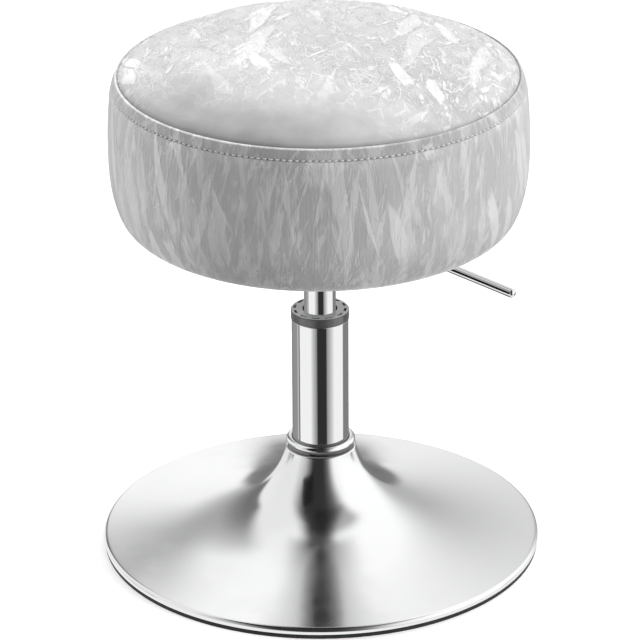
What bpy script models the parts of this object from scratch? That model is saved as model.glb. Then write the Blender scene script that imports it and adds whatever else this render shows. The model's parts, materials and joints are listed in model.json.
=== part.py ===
"""Swivel vanity stool: trumpet base, gas-lift column and a round upholstered seat.

Units are metres and +Z is up. The origin is on the floor, under the middle of the base.
The seat stands at the height where it was photographed, with the lift part of the way up.
"""

import math

import bmesh
import bpy
from mathutils import Matrix

# Clearances
FIT = 0.0003                # between pieces that touch
RUNNING_FIT = 0.0004        # between pieces that slide or turn on each other
STOP_GAP = 0.0025           # left at the ends of the lift's travel

# Trumpet base
BASE_RADIUS = 0.194
BASE_WALL = 0.0015
RIM_LIP = 0.0065            # height of the rolled rim
RIM_ROUND = 0.0050
NECK_RISE = 0.0820          # top of the neck above the skirt's edge
NECK_SHOULDER = 0.0065      # flat top of the neck, outside the tube
NECK_ROUND = 0.0015
FLARE_OUT = 0.0105          # where the neck's curve is heading, outwards and down
FLARE_DROP = 0.0455
SKIRT_START = 0.0485        # where the skirt's curve comes from, outside the neck
SKIRT_SLOPE = math.radians(7.4)
RING_FOOT = 0.0035          # rubber under the rim
RING_WIDTH = 0.0140
RING_INSET = 0.0006
SLEEVE_WALL = 0.0032
SLEEVE_SHORT = 0.0010       # the tube stands this far out of the sleeve's lower end
BRACE_RADIUS = 0.105
BRACE_THICKNESS = 0.0030
BEAD_RADIUS = 0.0032        # trim ring on the neck
BEAD_LIFT = 0.0060          # middle of the bead above the neck
BEAD_OFFSET = 0.0020        # middle of the bead outside the ring's bore
BEAD_FOOT = 0.0033          # wall of the ring's foot

# Stand tube and guide
TUBE_RADIUS = 0.025
TUBE_WALL = 0.0015
TUBE_RISE = 0.1230          # tube above the neck
TUBE_TAPER = 0.0008         # drop in radius inside the sleeve
TUBE_FLOOR = 0.0040         # thickness of the tube's closed end
FLOOR_GAP = 0.0125          # tube's lower end above the floor
COLLAR_OVERHANG = 0.0006    # guide cap outside the tube
COLLAR_HEIGHT = 0.0085
COLLAR_CHAMFER = 0.0009
COLLAR_GAP = 0.0014         # dark ring between the cap and the moving tube
COLLAR_RECESS = 0.0050
GUIDE_LENGTH = 0.065
SLOT_COUNT = 12
SLOT_PHASE = math.radians(20)
SLOT_INSET = 0.0033         # middle of the slots inside the cap's edge
SLOT_LENGTH = 0.0070
SLOT_WIDTH = 0.0016
SLOT_DEPTH = 0.0040

# Thrust bearing and rod
ROD_RADIUS = 0.0050
ROD_SHOULDER = 0.0010       # step down to the bearing's stub
STUB_PLAY = 0.0010
RACE_PLAY = 0.0027          # race inside the tube
RACE_THICKNESS = 0.0020
BALL_RADIUS = 0.00225
BALL_COUNT = 8
BALL_EDGE = 0.0065          # middle of the balls inside the race's edge
CAGE_HALF_WIDTH = 0.0045
CAGE_THICKNESS = 0.0025
BUMPER_WALL = 0.0120
BUMPER_HEIGHT = 0.0120
CLIP_WASHER_WIDTH = 0.0065
CLIP_WASHER_THICKNESS = 0.0010
CLIP_THICKNESS = 0.0012
CLIP_WIDTH = 0.0050
CLIP_MOUTH = 0.0050
GROOVE_DEPTH = 0.0010
STUB_END = 0.0025           # stub below the clip
PISTON_HEIGHT = 0.0140
PISTON_STEP = 0.0015        # rod's step under the piston
PISTON_TAIL = 0.0010
SEAL_HEIGHT = 0.0040
SEAL_DEPTH = 0.0020
GLAND_LENGTH = 0.0140
GLAND_RECESS = 0.0005
VALVE_LENGTH = 0.0340

# Moving tube and its socket under the seat
PRESSURE_RADIUS = 0.014
PRESSURE_WALL = 0.0020
LIFT_DOWN = 0.0340          # travel down from the photographed height
LIFT_UP = 0.0650            # travel up
SOCKET_LENGTH = 0.0450
SOCKET_WALL = 0.0050
SOCKET_TAPER = 0.0006
PIN_RADIUS = 0.0025
PIN_LENGTH = 0.0220
PIN_PROUD = 0.0055          # release pin above the moving tube
PIN_TRAVEL = 0.0040

# Release lever
LEVER_RADIUS = 0.0040
LEVER_AZIMUTH = math.radians(33)    # to the front of +X
LEVER_PIVOT = 0.0450                # pivot from the column's axis
LEVER_TAIL = 0.0080                 # beyond the release pin
LEVER_BEND_AT = 0.1310
LEVER_BEND_RADIUS = 0.0300
LEVER_DROP = math.radians(10)
LEVER_REACH = 0.2000
LEVER_HEADROOM = 0.0047             # under the seat plate
PIVOT_RADIUS = 0.0016
PIVOT_HEAD = 0.0010
EAR_PLAY = 0.0006
EAR_WALL = 0.0030
EAR_LENGTH = 0.0160
EAR_BELOW = 0.0050
BRACKET_WEB = 0.0015

# Seat plate and its fasteners
PLATE_SIDE = 0.160
PLATE_THICKNESS = 0.0025
PLATE_CORNER = 0.0150
BOLT_EDGE = 0.0190          # bolts inside the plate's edge
BOLT_RADIUS = 0.0030
BOLT_PLAY = 0.0006
BOLT_HEAD_FLATS = 0.0100
BOLT_HEAD_HEIGHT = 0.0040
BOLT_SHY = 0.0020           # bolt's end below the board's top
WASHER_WIDTH = 0.0040
WASHER_THICKNESS = 0.0012
TEE_FLANGE = 0.0050         # flange outside the barrel
TEE_FLANGE_THICKNESS = 0.0015
TEE_WALL = 0.0012
TEE_LENGTH = 0.0090

# Seat
SEAT_RADIUS = 0.1825        # widest part of the side
SEAT_SIDE_HEIGHT = 0.1335   # underside to seam
SEAT_BELLY = 0.0680         # underside to the widest part
SEAT_EDGE = 0.0310          # width of the rounded lower edge
SEAT_EDGE_FULLNESS = 2.65
SEAM_INSET = 0.0100         # seam inside the widest part
SIDE_FULLNESS = 3.6
CROWN = 0.0300              # top above the seam
CROWN_FULLNESS = 3.2
COVER = 0.0015
COVER_TURN_UNDER = 0.0220
BOARD_EDGE = 0.0040         # foam under the seat, outside the board
BOARD_THICKNESS = 0.0150
DUST_COVER = 0.0012
DUST_MARGIN = 0.0080

# Sides of round pieces, and steps along curves
WIDE_SIDES = 40
TUBE_SIDES = 24
BEARING_SIDES = 20
SMALL_SIDES = 12
BAR_SIDES = 12
SKIRT_STEPS = 10
ROUND_STEPS = 2
BEAD_STEPS = 6
EDGE_STEPS = 6
SIDE_STEPS = 4
CROWN_STEPS = 6
MERGE = 1e-6
SMOOTH_ANGLE = math.radians(35)

# Heights, from the floor up
RIM_BOTTOM = RING_FOOT + FIT
RIM_TOP = RIM_BOTTOM + RIM_LIP
NECK_TOP = RIM_TOP + NECK_RISE
TUBE_BOTTOM = FLOOR_GAP
TUBE_TOP = NECK_TOP + TUBE_RISE
BEARING_FLOOR = TUBE_BOTTOM + TUBE_FLOOR
LOWER_RACE_BOTTOM = BEARING_FLOOR + FIT
LOWER_RACE_TOP = LOWER_RACE_BOTTOM + RACE_THICKNESS
BALL_HEIGHT = LOWER_RACE_TOP + FIT + BALL_RADIUS
UPPER_RACE_BOTTOM = BALL_HEIGHT + BALL_RADIUS + FIT
UPPER_RACE_TOP = UPPER_RACE_BOTTOM + RACE_THICKNESS
BUMPER_BOTTOM = UPPER_RACE_TOP + FIT
BUMPER_TOP = BUMPER_BOTTOM + BUMPER_HEIGHT
CLIP_WASHER_TOP = TUBE_BOTTOM - FIT
CLIP_WASHER_BOTTOM = CLIP_WASHER_TOP - CLIP_WASHER_THICKNESS
CLIP_TOP = CLIP_WASHER_BOTTOM - FIT
CLIP_BOTTOM = CLIP_TOP - CLIP_THICKNESS
STUB_BOTTOM = CLIP_BOTTOM - FIT - STUB_END
COLLAR_BOTTOM = TUBE_TOP + FIT
COLLAR_TOP = COLLAR_BOTTOM + COLLAR_HEIGHT
SOCKET_BOTTOM = COLLAR_TOP + STOP_GAP + LIFT_DOWN
SOCKET_TOP = SOCKET_BOTTOM + SOCKET_LENGTH
LEVER_TOP = SOCKET_TOP - LEVER_HEADROOM
LEVER_HEIGHT = LEVER_TOP - LEVER_RADIUS
PIN_TOP = LEVER_HEIGHT - LEVER_RADIUS - FIT
PRESSURE_TOP = PIN_TOP - PIN_PROUD
PRESSURE_BOTTOM = BUMPER_TOP + STOP_GAP + LIFT_DOWN
GLAND_BOTTOM = PRESSURE_BOTTOM + GLAND_RECESS
GLAND_TOP = GLAND_BOTTOM + GLAND_LENGTH
PISTON_BOTTOM = GLAND_TOP + LIFT_UP + STOP_GAP
PISTON_TOP = PISTON_BOTTOM + PISTON_HEIGHT
PLATE_BOTTOM = SOCKET_TOP + FIT
PLATE_TOP = PLATE_BOTTOM + PLATE_THICKNESS
DUST_BOTTOM = PLATE_TOP + FIT
DUST_TOP = DUST_BOTTOM + DUST_COVER
SEAT_BOTTOM = DUST_TOP + FIT
SEAM_HEIGHT = SEAT_BOTTOM + SEAT_SIDE_HEIGHT
BELLY_HEIGHT = SEAT_BOTTOM + SEAT_BELLY
BOARD_BOTTOM = SEAT_BOTTOM + COVER + FIT
BOARD_TOP = BOARD_BOTTOM + BOARD_THICKNESS

# Radii that follow from the fits
TUBE_BORE = TUBE_RADIUS - TUBE_WALL
TUBE_HOLE = TUBE_RADIUS + FIT
NECK_RADIUS = TUBE_RADIUS + NECK_SHOULDER
SLEEVE_RADIUS = TUBE_RADIUS + FIT + SLEEVE_WALL
COLLAR_RADIUS = TUBE_RADIUS + COLLAR_OVERHANG
STUB_RADIUS = ROD_RADIUS - ROD_SHOULDER
RACE_RADIUS = TUBE_BORE - TUBE_TAPER - RACE_PLAY
BALL_RING = RACE_RADIUS - BALL_EDGE
PRESSURE_BORE = PRESSURE_RADIUS - PRESSURE_WALL
SOCKET_RADIUS = PRESSURE_RADIUS + SOCKET_WALL
SEAT_FLAT_RADIUS = SEAT_RADIUS - SEAT_EDGE
SEAM_RADIUS = SEAT_RADIUS - SEAM_INSET
BOARD_RADIUS = SEAT_FLAT_RADIUS - BOARD_EDGE
TEE_RADIUS = BOLT_RADIUS + FIT + TEE_WALL


# Finishes


def finish(name, colour, roughness, metallic):
    """A plain surface of one colour."""
    material = bpy.data.materials.new(name)
    material.use_nodes = True
    shader = material.node_tree.nodes["Principled BSDF"]
    shader.inputs["Base Color"].default_value = (*colour, 1.0)
    shader.inputs["Roughness"].default_value = roughness
    shader.inputs["Metallic"].default_value = metallic
    return material


# Tools for the shapes


def clear_scene():
    """Remove whatever the new scene holds."""
    for item in list(bpy.data.objects):
        bpy.data.objects.remove(item, do_unlink=True)


def joint_frame(name, place=(0.0, 0.0, 0.0), turn=0.0, parent=None):
    """An empty on a joint's axis, which carries the pieces that move with it."""
    frame = bpy.data.objects.new(name, None)
    frame.location = place
    frame.rotation_euler.z = turn
    frame.parent = parent
    bpy.context.collection.objects.link(frame)
    return frame


def make_piece(name, bm, material, parent=None):
    """Turn a bmesh into a named piece with outward faces and smooth round sides."""
    bmesh.ops.remove_doubles(bm, verts=bm.verts, dist=MERGE)
    bmesh.ops.recalc_face_normals(bm, faces=bm.faces)
    mesh = bpy.data.meshes.new(name)
    bm.to_mesh(mesh)
    bm.free()
    mesh.shade_smooth()
    mesh.set_sharp_from_angle(angle=SMOOTH_ANGLE)
    if material:
        mesh.materials.append(material)
    piece = bpy.data.objects.new(name, mesh)
    piece.parent = parent
    bpy.context.collection.objects.link(piece)
    return piece


def turned(name, section, sides, material, parent=None):
    """Spin a section of (radius, height) points about Z. One that starts and ends on the axis is solid."""
    bm = bmesh.new()
    verts = [bm.verts.new((radius, 0.0, height)) for radius, height in section]
    edges = [bm.edges.new(pair) for pair in zip(verts, verts[1:])]
    solid = section[0][0] == 0.0 and section[-1][0] == 0.0
    if not solid:
        edges.append(bm.edges.new((verts[-1], verts[0])))
    bmesh.ops.spin(
        bm, geom=verts + edges, cent=(0.0, 0.0, 0.0), axis=(0.0, 0.0, 1.0),
        angle=math.tau, steps=sides, use_merge=True,
    )
    return make_piece(name, bm, material, parent)


def ring(name, inner, outer, bottom, top, sides, material, parent=None):
    """A plain washer or tube."""
    section = [(inner, bottom), (outer, bottom), (outer, top), (inner, top)]
    return turned(name, section, sides, material, parent)


def rod(name, radius, bottom, top, sides, material, parent=None):
    """A plain upright pin."""
    section = [(0.0, top), (radius, top), (radius, bottom), (0.0, bottom)]
    return turned(name, section, sides, material, parent)


def block(name, size, middle, material, parent=None, corner=0.0):
    """A box, with its upright edges rounded where a corner radius is given."""
    bm = bmesh.new()
    place = Matrix.Translation(middle) @ Matrix.Diagonal((*size, 1.0))
    bmesh.ops.create_cube(bm, size=1.0, matrix=place)
    if corner:
        upright = [edge for edge in bm.edges if abs(edge.verts[0].co.z - edge.verts[1].co.z) > MERGE]
        bmesh.ops.bevel(
            bm, geom=upright, offset=corner, segments=ROUND_STEPS, profile=0.5, affect="EDGES"
        )
    return make_piece(name, bm, material, parent)


def lofted(name, rings, material, parent=None):
    """A closed body through rings of equally many points, capped at both ends."""
    bm = bmesh.new()
    loops = [[bm.verts.new(point) for point in points] for points in rings]
    count = len(loops[0])
    for lower, upper in zip(loops, loops[1:]):
        for here in range(count):
            there = (here + 1) % count
            bm.faces.new((lower[here], lower[there], upper[there], upper[here]))
    bm.faces.new(loops[0])
    bm.faces.new(loops[-1])
    return make_piece(name, bm, material, parent)


def cut(piece, cutter):
    """Take the cutter's shape out of a piece and keep the cutter as a guide."""
    cutter.hide_render = True
    cutter.display_type = "WIRE"
    boolean = piece.modifiers.new(cutter.name, "BOOLEAN")
    boolean.operation = "DIFFERENCE"
    boolean.solver = "EXACT"
    boolean.object = cutter


def around(radius, angle):
    """A point on a circle about the column's axis."""
    return radius * math.cos(angle), radius * math.sin(angle)


# Curves of the shapes


def arc(centre, radius, start, end, steps):
    """Points on an arc in the section's plane."""
    points = []
    for step in range(steps + 1):
        angle = start + (end - start) * step / steps
        points.append((centre[0] + radius * math.cos(angle), centre[1] + radius * math.sin(angle)))
    return points


def bezier(start, towards, away, end, steps):
    """Points on a cubic curve, without its first one."""
    points = []
    for step in range(1, steps + 1):
        t = step / steps
        weights = ((1 - t) ** 3, 3 * t * (1 - t) ** 2, 3 * t * t * (1 - t), t ** 3)
        corners = (start, towards, away, end)
        points.append(tuple(sum(w * c[axis] for w, c in zip(weights, corners)) for axis in (0, 1)))
    return points


def moved_in(path, depth):
    """The path moved sideways, to the right of its direction, by a wall's thickness."""
    points = []
    last = len(path) - 1
    for here, point in enumerate(path):
        sides = []
        for first, second in ((here - 1, here), (here, here + 1)):
            if 0 <= first and second <= last:
                run = (path[second][0] - path[first][0], path[second][1] - path[first][1])
                length = math.hypot(*run)
                sides.append((run[1] / length, -run[0] / length))
        across = (sum(s[0] for s in sides), sum(s[1] for s in sides))
        size = math.hypot(*across)
        across = (across[0] / size, across[1] / size)
        reach = depth / (across[0] * sides[0][0] + across[1] * sides[0][1])
        points.append((point[0] + across[0] * reach, point[1] + across[1] * reach))
    return points


def base_outside():
    """Outer line of the trumpet: across the neck's top, down the flare and round the rim."""
    neck_corner = (NECK_RADIUS - NECK_ROUND, NECK_TOP - NECK_ROUND)
    rim_corner = (BASE_RADIUS - RIM_ROUND, RIM_TOP - RIM_ROUND)
    skirt_edge = (rim_corner[0], RIM_TOP)
    neck_edge = (NECK_RADIUS, neck_corner[1])
    towards = (NECK_RADIUS + FLARE_OUT, NECK_TOP - FLARE_DROP)
    skirt_run = skirt_edge[0] - NECK_RADIUS - SKIRT_START
    away = (NECK_RADIUS + SKIRT_START, RIM_TOP + skirt_run * math.tan(SKIRT_SLOPE))
    path = [(TUBE_HOLE, NECK_TOP)]
    path += arc(neck_corner, NECK_ROUND, math.pi / 2, 0.0, ROUND_STEPS)
    path += bezier(neck_edge, towards, away, skirt_edge, SKIRT_STEPS)
    path += arc(rim_corner, RIM_ROUND, math.pi / 2, 0.0, ROUND_STEPS)[1:]
    path.append((BASE_RADIUS, RIM_BOTTOM))
    return path


def height_at(path, radius):
    """Height of a falling path at a radius."""
    for (r0, z0), (r1, z1) in zip(path, path[1:]):
        if r0 <= radius < r1:
            return z0 + (z1 - z0) * (radius - r0) / (r1 - r0)
    return path[-1][1]


def tube_outside(height):
    """Radius of the stand tube, which tapers below the neck."""
    share = (NECK_TOP - height) / (NECK_TOP - TUBE_BOTTOM)
    return TUBE_RADIUS - TUBE_TAPER * max(share, 0.0)


def pressure_outside(height):
    """Radius of the moving tube, which tapers inside its socket."""
    share = (height - SOCKET_BOTTOM) / (PRESSURE_TOP - SOCKET_BOTTOM)
    return PRESSURE_RADIUS - SOCKET_TAPER * min(max(share, 0.0), 1.0)


def seat_side(depth):
    """Line of the seat's side from its flat underside up to the seam, this deep below the surface."""
    points = []
    for step in range(EDGE_STEPS + 1):
        angle = math.pi / 2 * (1 - step / EDGE_STEPS)
        out = max(math.cos(angle), 0.0) ** (2 / SEAT_EDGE_FULLNESS)
        down = max(math.sin(angle), 0.0) ** (2 / SEAT_EDGE_FULLNESS)
        points.append((
            SEAT_FLAT_RADIUS + (SEAT_EDGE - depth) * out,
            BELLY_HEIGHT - (SEAT_BELLY - depth) * down,
        ))
    for step in range(1, SIDE_STEPS + 1):
        share = step / SIDE_STEPS
        points.append((
            SEAT_RADIUS - depth - SEAM_INSET * share ** SIDE_FULLNESS,
            BELLY_HEIGHT + (SEAM_HEIGHT - BELLY_HEIGHT) * share,
        ))
    return points


def seat_crown(depth):
    """Line of the seat's top from the seam in to the middle, this deep below the surface."""
    radius = SEAM_RADIUS - depth
    points = []
    for step in range(CROWN_STEPS + 1):
        across = math.cos(math.pi / 2 * step / CROWN_STEPS) if step < CROWN_STEPS else 0.0
        rise = (CROWN - depth) * (1 - across ** CROWN_FULLNESS)
        points.append((radius * across, SEAM_HEIGHT + FIT + rise))
    return points


# Base


def build_base():
    """Shell, rubber ring, sleeve, brace and trim ring, which stand on the floor."""
    chrome = finish("base_chrome", (0.80, 0.80, 0.82), 0.12, 1.0)
    steel = finish("base_steel", (0.36, 0.36, 0.37), 0.45, 1.0)
    rubber = finish("black_rubber", (0.02, 0.02, 0.02), 0.80, 0.0)

    outside = base_outside()
    inside = moved_in(outside, BASE_WALL)
    inside[0] = (TUBE_HOLE, NECK_TOP - BASE_WALL)
    inside[-1] = (BASE_RADIUS - BASE_WALL, RIM_BOTTOM)
    turned("base_shell", outside + inside[::-1], WIDE_SIDES, chrome)

    rim_bore = BASE_RADIUS - BASE_WALL - FIT
    grip_top = RIM_TOP - RIM_ROUND
    ring_section = [
        (BASE_RADIUS - RING_WIDTH, 0.0),
        (BASE_RADIUS - RING_INSET, 0.0),
        (BASE_RADIUS - RING_INSET, RING_FOOT),
        (rim_bore, RING_FOOT),
        (rim_bore, grip_top),
        (BASE_RADIUS - RING_WIDTH, grip_top),
    ]
    turned("floor_ring", ring_section, WIDE_SIDES, rubber)

    sleeve_top = NECK_TOP - BASE_WALL - FIT
    sleeve_bottom = TUBE_BOTTOM + SLEEVE_SHORT
    sleeve_section = [
        (tube_outside(sleeve_bottom) + FIT, sleeve_bottom),
        (SLEEVE_RADIUS, sleeve_bottom),
        (SLEEVE_RADIUS, sleeve_top),
        (tube_outside(sleeve_top) + FIT, sleeve_top),
    ]
    turned("base_sleeve", sleeve_section, TUBE_SIDES, steel)

    brace_top = height_at(inside, BRACE_RADIUS) - FIT
    ring(
        "brace_plate", SLEEVE_RADIUS + FIT, BRACE_RADIUS,
        brace_top - BRACE_THICKNESS, brace_top, WIDE_SIDES, steel,
    )

    bead_middle = (TUBE_HOLE + BEAD_OFFSET, NECK_TOP + FIT + BEAD_LIFT)
    foot = TUBE_HOLE + BEAD_FOOT
    upper_end = math.acos(-BEAD_OFFSET / BEAD_RADIUS)
    lower_end = -math.acos((foot - bead_middle[0]) / BEAD_RADIUS)
    bead_section = [(foot, NECK_TOP + FIT), (TUBE_HOLE, NECK_TOP + FIT)]
    bead_section += arc(bead_middle, BEAD_RADIUS, upper_end, lower_end, BEAD_STEPS)
    turned("trim_ring", bead_section, TUBE_SIDES, chrome)


def build_stand():
    """Stand tube, its guide and the bearing's lower race, which stay with the base."""
    chrome = finish("column_chrome", (0.82, 0.82, 0.84), 0.08, 1.0)
    plastic = finish("guide_plastic", (0.22, 0.22, 0.23), 0.40, 0.0)
    race_steel = finish("race_steel", (0.45, 0.45, 0.46), 0.30, 1.0)

    stub_hole = STUB_RADIUS + STUB_PLAY
    tube_section = [
        (TUBE_RADIUS, TUBE_TOP),
        (TUBE_RADIUS, NECK_TOP),
        (tube_outside(TUBE_BOTTOM), TUBE_BOTTOM),
        (stub_hole, TUBE_BOTTOM),
        (stub_hole, BEARING_FLOOR),
        (tube_outside(BEARING_FLOOR) - TUBE_WALL, BEARING_FLOOR),
        (TUBE_BORE, NECK_TOP),
        (TUBE_BORE, TUBE_TOP),
    ]
    turned("stand_tube", tube_section, TUBE_SIDES, chrome)

    guide_bore = PRESSURE_RADIUS + RUNNING_FIT
    cap_hole = PRESSURE_RADIUS + COLLAR_GAP
    guide_outside = TUBE_BORE - FIT
    guide_bottom = TUBE_TOP - GUIDE_LENGTH
    guide_section = [
        (cap_hole, COLLAR_TOP),
        (COLLAR_RADIUS - COLLAR_CHAMFER, COLLAR_TOP),
        (COLLAR_RADIUS, COLLAR_TOP - COLLAR_CHAMFER),
        (COLLAR_RADIUS, COLLAR_BOTTOM),
        (guide_outside, COLLAR_BOTTOM),
        (guide_outside, guide_bottom),
        (guide_bore, guide_bottom),
        (guide_bore, COLLAR_TOP - COLLAR_RECESS),
        (cap_hole, COLLAR_TOP - COLLAR_RECESS),
    ]
    guide = turned("guide_bush", guide_section, TUBE_SIDES, plastic)
    for number in range(SLOT_COUNT):
        angle = SLOT_PHASE + math.tau * number / SLOT_COUNT
        slot = block(
            f"cap_slot_{number + 1}", (SLOT_WIDTH, SLOT_LENGTH, 2 * SLOT_DEPTH), (0.0, 0.0, 0.0), None
        )
        slot.location = (*around(COLLAR_RADIUS - SLOT_INSET, angle), COLLAR_TOP)
        slot.rotation_euler.z = angle
        cut(guide, slot)

    ring(
        "lower_race", STUB_RADIUS + STUB_PLAY, RACE_RADIUS,
        LOWER_RACE_BOTTOM, LOWER_RACE_TOP, BEARING_SIDES, race_steel,
    )


# Swivel


def build_cage(cage_axis):
    """The thrust bearing's balls and the cage that spaces them."""
    brass = finish("cage_brass", (0.60, 0.45, 0.20), 0.35, 1.0)
    ball_steel = finish("ball_steel", (0.70, 0.70, 0.72), 0.15, 1.0)
    half = CAGE_THICKNESS / 2
    cage = ring(
        "ball_cage", BALL_RING - CAGE_HALF_WIDTH, BALL_RING + CAGE_HALF_WIDTH,
        BALL_HEIGHT - half, BALL_HEIGHT + half, BEARING_SIDES, brass, cage_axis,
    )
    for number in range(BALL_COUNT):
        x, y = around(BALL_RING, math.tau * number / BALL_COUNT)
        pocket = rod(
            f"cage_pocket_{number + 1}", BALL_RADIUS + FIT,
            BALL_HEIGHT - CAGE_THICKNESS, BALL_HEIGHT + CAGE_THICKNESS, SMALL_SIDES, None, cage_axis,
        )
        pocket.location = (x, y, 0.0)
        cut(cage, pocket)
        bm = bmesh.new()
        bmesh.ops.create_icosphere(bm, subdivisions=2, radius=BALL_RADIUS)
        ball = make_piece(f"bearing_ball_{number + 1}", bm, ball_steel, cage_axis)
        ball.location = (x, y, BALL_HEIGHT)


def build_rod(rod_axis):
    """Rod with its piston, seal, upper race, bumper and clip, which turn in the stand tube."""
    bright = finish("rod_steel", (0.72, 0.72, 0.74), 0.12, 1.0)
    steel = finish("piston_steel", (0.40, 0.40, 0.41), 0.40, 1.0)
    spring_steel = finish("clip_steel", (0.20, 0.20, 0.21), 0.40, 1.0)
    rubber = finish("seal_rubber", (0.03, 0.03, 0.03), 0.70, 0.0)

    groove = STUB_RADIUS - GROOVE_DEPTH
    spigot = ROD_RADIUS - PISTON_STEP
    shoulder = UPPER_RACE_TOP + FIT
    rod_section = [
        (0.0, PISTON_TOP + PISTON_TAIL),
        (spigot, PISTON_TOP + PISTON_TAIL),
        (spigot, PISTON_BOTTOM - FIT),
        (ROD_RADIUS, PISTON_BOTTOM - FIT),
        (ROD_RADIUS, shoulder),
        (STUB_RADIUS, shoulder),
        (STUB_RADIUS, CLIP_TOP + FIT),
        (groove, CLIP_TOP + FIT),
        (groove, CLIP_BOTTOM - FIT),
        (STUB_RADIUS, CLIP_BOTTOM - FIT),
        (STUB_RADIUS, STUB_BOTTOM),
        (0.0, STUB_BOTTOM),
    ]
    turned("piston_rod", rod_section, SMALL_SIDES, bright, rod_axis)

    piston_radius = PRESSURE_BORE - RUNNING_FIT
    seal_middle = (PISTON_BOTTOM + PISTON_TOP) / 2
    groove_low = seal_middle - SEAL_HEIGHT / 2 - FIT
    groove_high = seal_middle + SEAL_HEIGHT / 2 + FIT
    seal_seat = piston_radius - SEAL_DEPTH
    piston_section = [
        (spigot + FIT, PISTON_TOP),
        (piston_radius, PISTON_TOP),
        (piston_radius, groove_high),
        (seal_seat, groove_high),
        (seal_seat, groove_low),
        (piston_radius, groove_low),
        (piston_radius, PISTON_BOTTOM),
        (spigot + FIT, PISTON_BOTTOM),
    ]
    turned("piston", piston_section, BEARING_SIDES, steel, rod_axis)
    ring(
        "piston_seal", seal_seat + FIT, PRESSURE_BORE - FIT,
        groove_low + FIT, groove_high - FIT, BEARING_SIDES, rubber, rod_axis,
    )

    ring(
        "upper_race", STUB_RADIUS + FIT, RACE_RADIUS,
        UPPER_RACE_BOTTOM, UPPER_RACE_TOP, BEARING_SIDES, steel, rod_axis,
    )
    bumper_bore = ROD_RADIUS + FIT
    ring(
        "bumper", bumper_bore, bumper_bore + BUMPER_WALL,
        BUMPER_BOTTOM, BUMPER_TOP, BEARING_SIDES, rubber, rod_axis,
    )

    washer_bore = STUB_RADIUS + FIT
    ring(
        "clip_washer", washer_bore, washer_bore + CLIP_WASHER_WIDTH,
        CLIP_WASHER_BOTTOM, CLIP_WASHER_TOP, BEARING_SIDES, steel, rod_axis,
    )
    clip_bore = groove + FIT
    clip_radius = clip_bore + CLIP_WIDTH
    clip = ring(
        "retaining_clip", clip_bore, clip_radius, CLIP_BOTTOM, CLIP_TOP, BEARING_SIDES,
        spring_steel, rod_axis,
    )
    mouth = block(
        "clip_mouth", (2 * clip_radius, CLIP_MOUTH, 2 * CLIP_THICKNESS),
        (clip_radius, 0.0, (CLIP_BOTTOM + CLIP_TOP) / 2), None, rod_axis,
    )
    cut(clip, mouth)


# Lift


def build_lift_tube(lift_axis):
    """Moving tube with its gland, valve and the socket that it wedges into."""
    chrome = finish("lift_chrome", (0.82, 0.82, 0.84), 0.08, 1.0)
    steel = finish("gland_steel", (0.40, 0.40, 0.41), 0.40, 1.0)
    black_paint = finish("socket_paint", (0.03, 0.03, 0.03), 0.45, 0.0)

    tube_section = [
        (PRESSURE_BORE, PRESSURE_TOP),
        (pressure_outside(PRESSURE_TOP), PRESSURE_TOP),
        (PRESSURE_RADIUS, SOCKET_BOTTOM),
        (PRESSURE_RADIUS, PRESSURE_BOTTOM),
        (PRESSURE_BORE, PRESSURE_BOTTOM),
    ]
    turned("pressure_tube", tube_section, TUBE_SIDES, chrome, lift_axis)
    ring(
        "rod_gland", ROD_RADIUS + RUNNING_FIT, PRESSURE_BORE - FIT,
        GLAND_BOTTOM, GLAND_TOP, TUBE_SIDES, steel, lift_axis,
    )

    valve_top = PRESSURE_TOP - GLAND_RECESS
    pin_bore = PIN_RADIUS + RUNNING_FIT
    pin_floor = PIN_TOP - PIN_LENGTH - PIN_TRAVEL - FIT
    valve_section = [
        (0.0, pin_floor),
        (pin_bore, pin_floor),
        (pin_bore, valve_top),
        (PRESSURE_BORE - FIT, valve_top),
        (PRESSURE_BORE - FIT, valve_top - VALVE_LENGTH),
        (0.0, valve_top - VALVE_LENGTH),
    ]
    turned("valve_body", valve_section, TUBE_SIDES, steel, lift_axis)

    grip = pressure_outside(PRESSURE_TOP) + FIT
    socket_section = [
        (grip, SOCKET_TOP),
        (SOCKET_RADIUS, SOCKET_TOP),
        (SOCKET_RADIUS, SOCKET_BOTTOM),
        (PRESSURE_RADIUS + FIT, SOCKET_BOTTOM),
        (grip, PRESSURE_TOP),
    ]
    socket = turned("taper_socket", socket_section, TUBE_SIDES, black_paint, lift_axis)
    slot_floor = PIN_TOP - PIN_TRAVEL
    slot_height = 2 * (SOCKET_TOP - slot_floor)
    slot = block(
        "lever_slot", (2 * SOCKET_RADIUS, 2 * (LEVER_RADIUS + EAR_PLAY), slot_height),
        (SOCKET_RADIUS, 0.0, SOCKET_TOP), None, lift_axis,
    )
    slot.rotation_euler.z = -LEVER_AZIMUTH
    cut(socket, slot)


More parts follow.
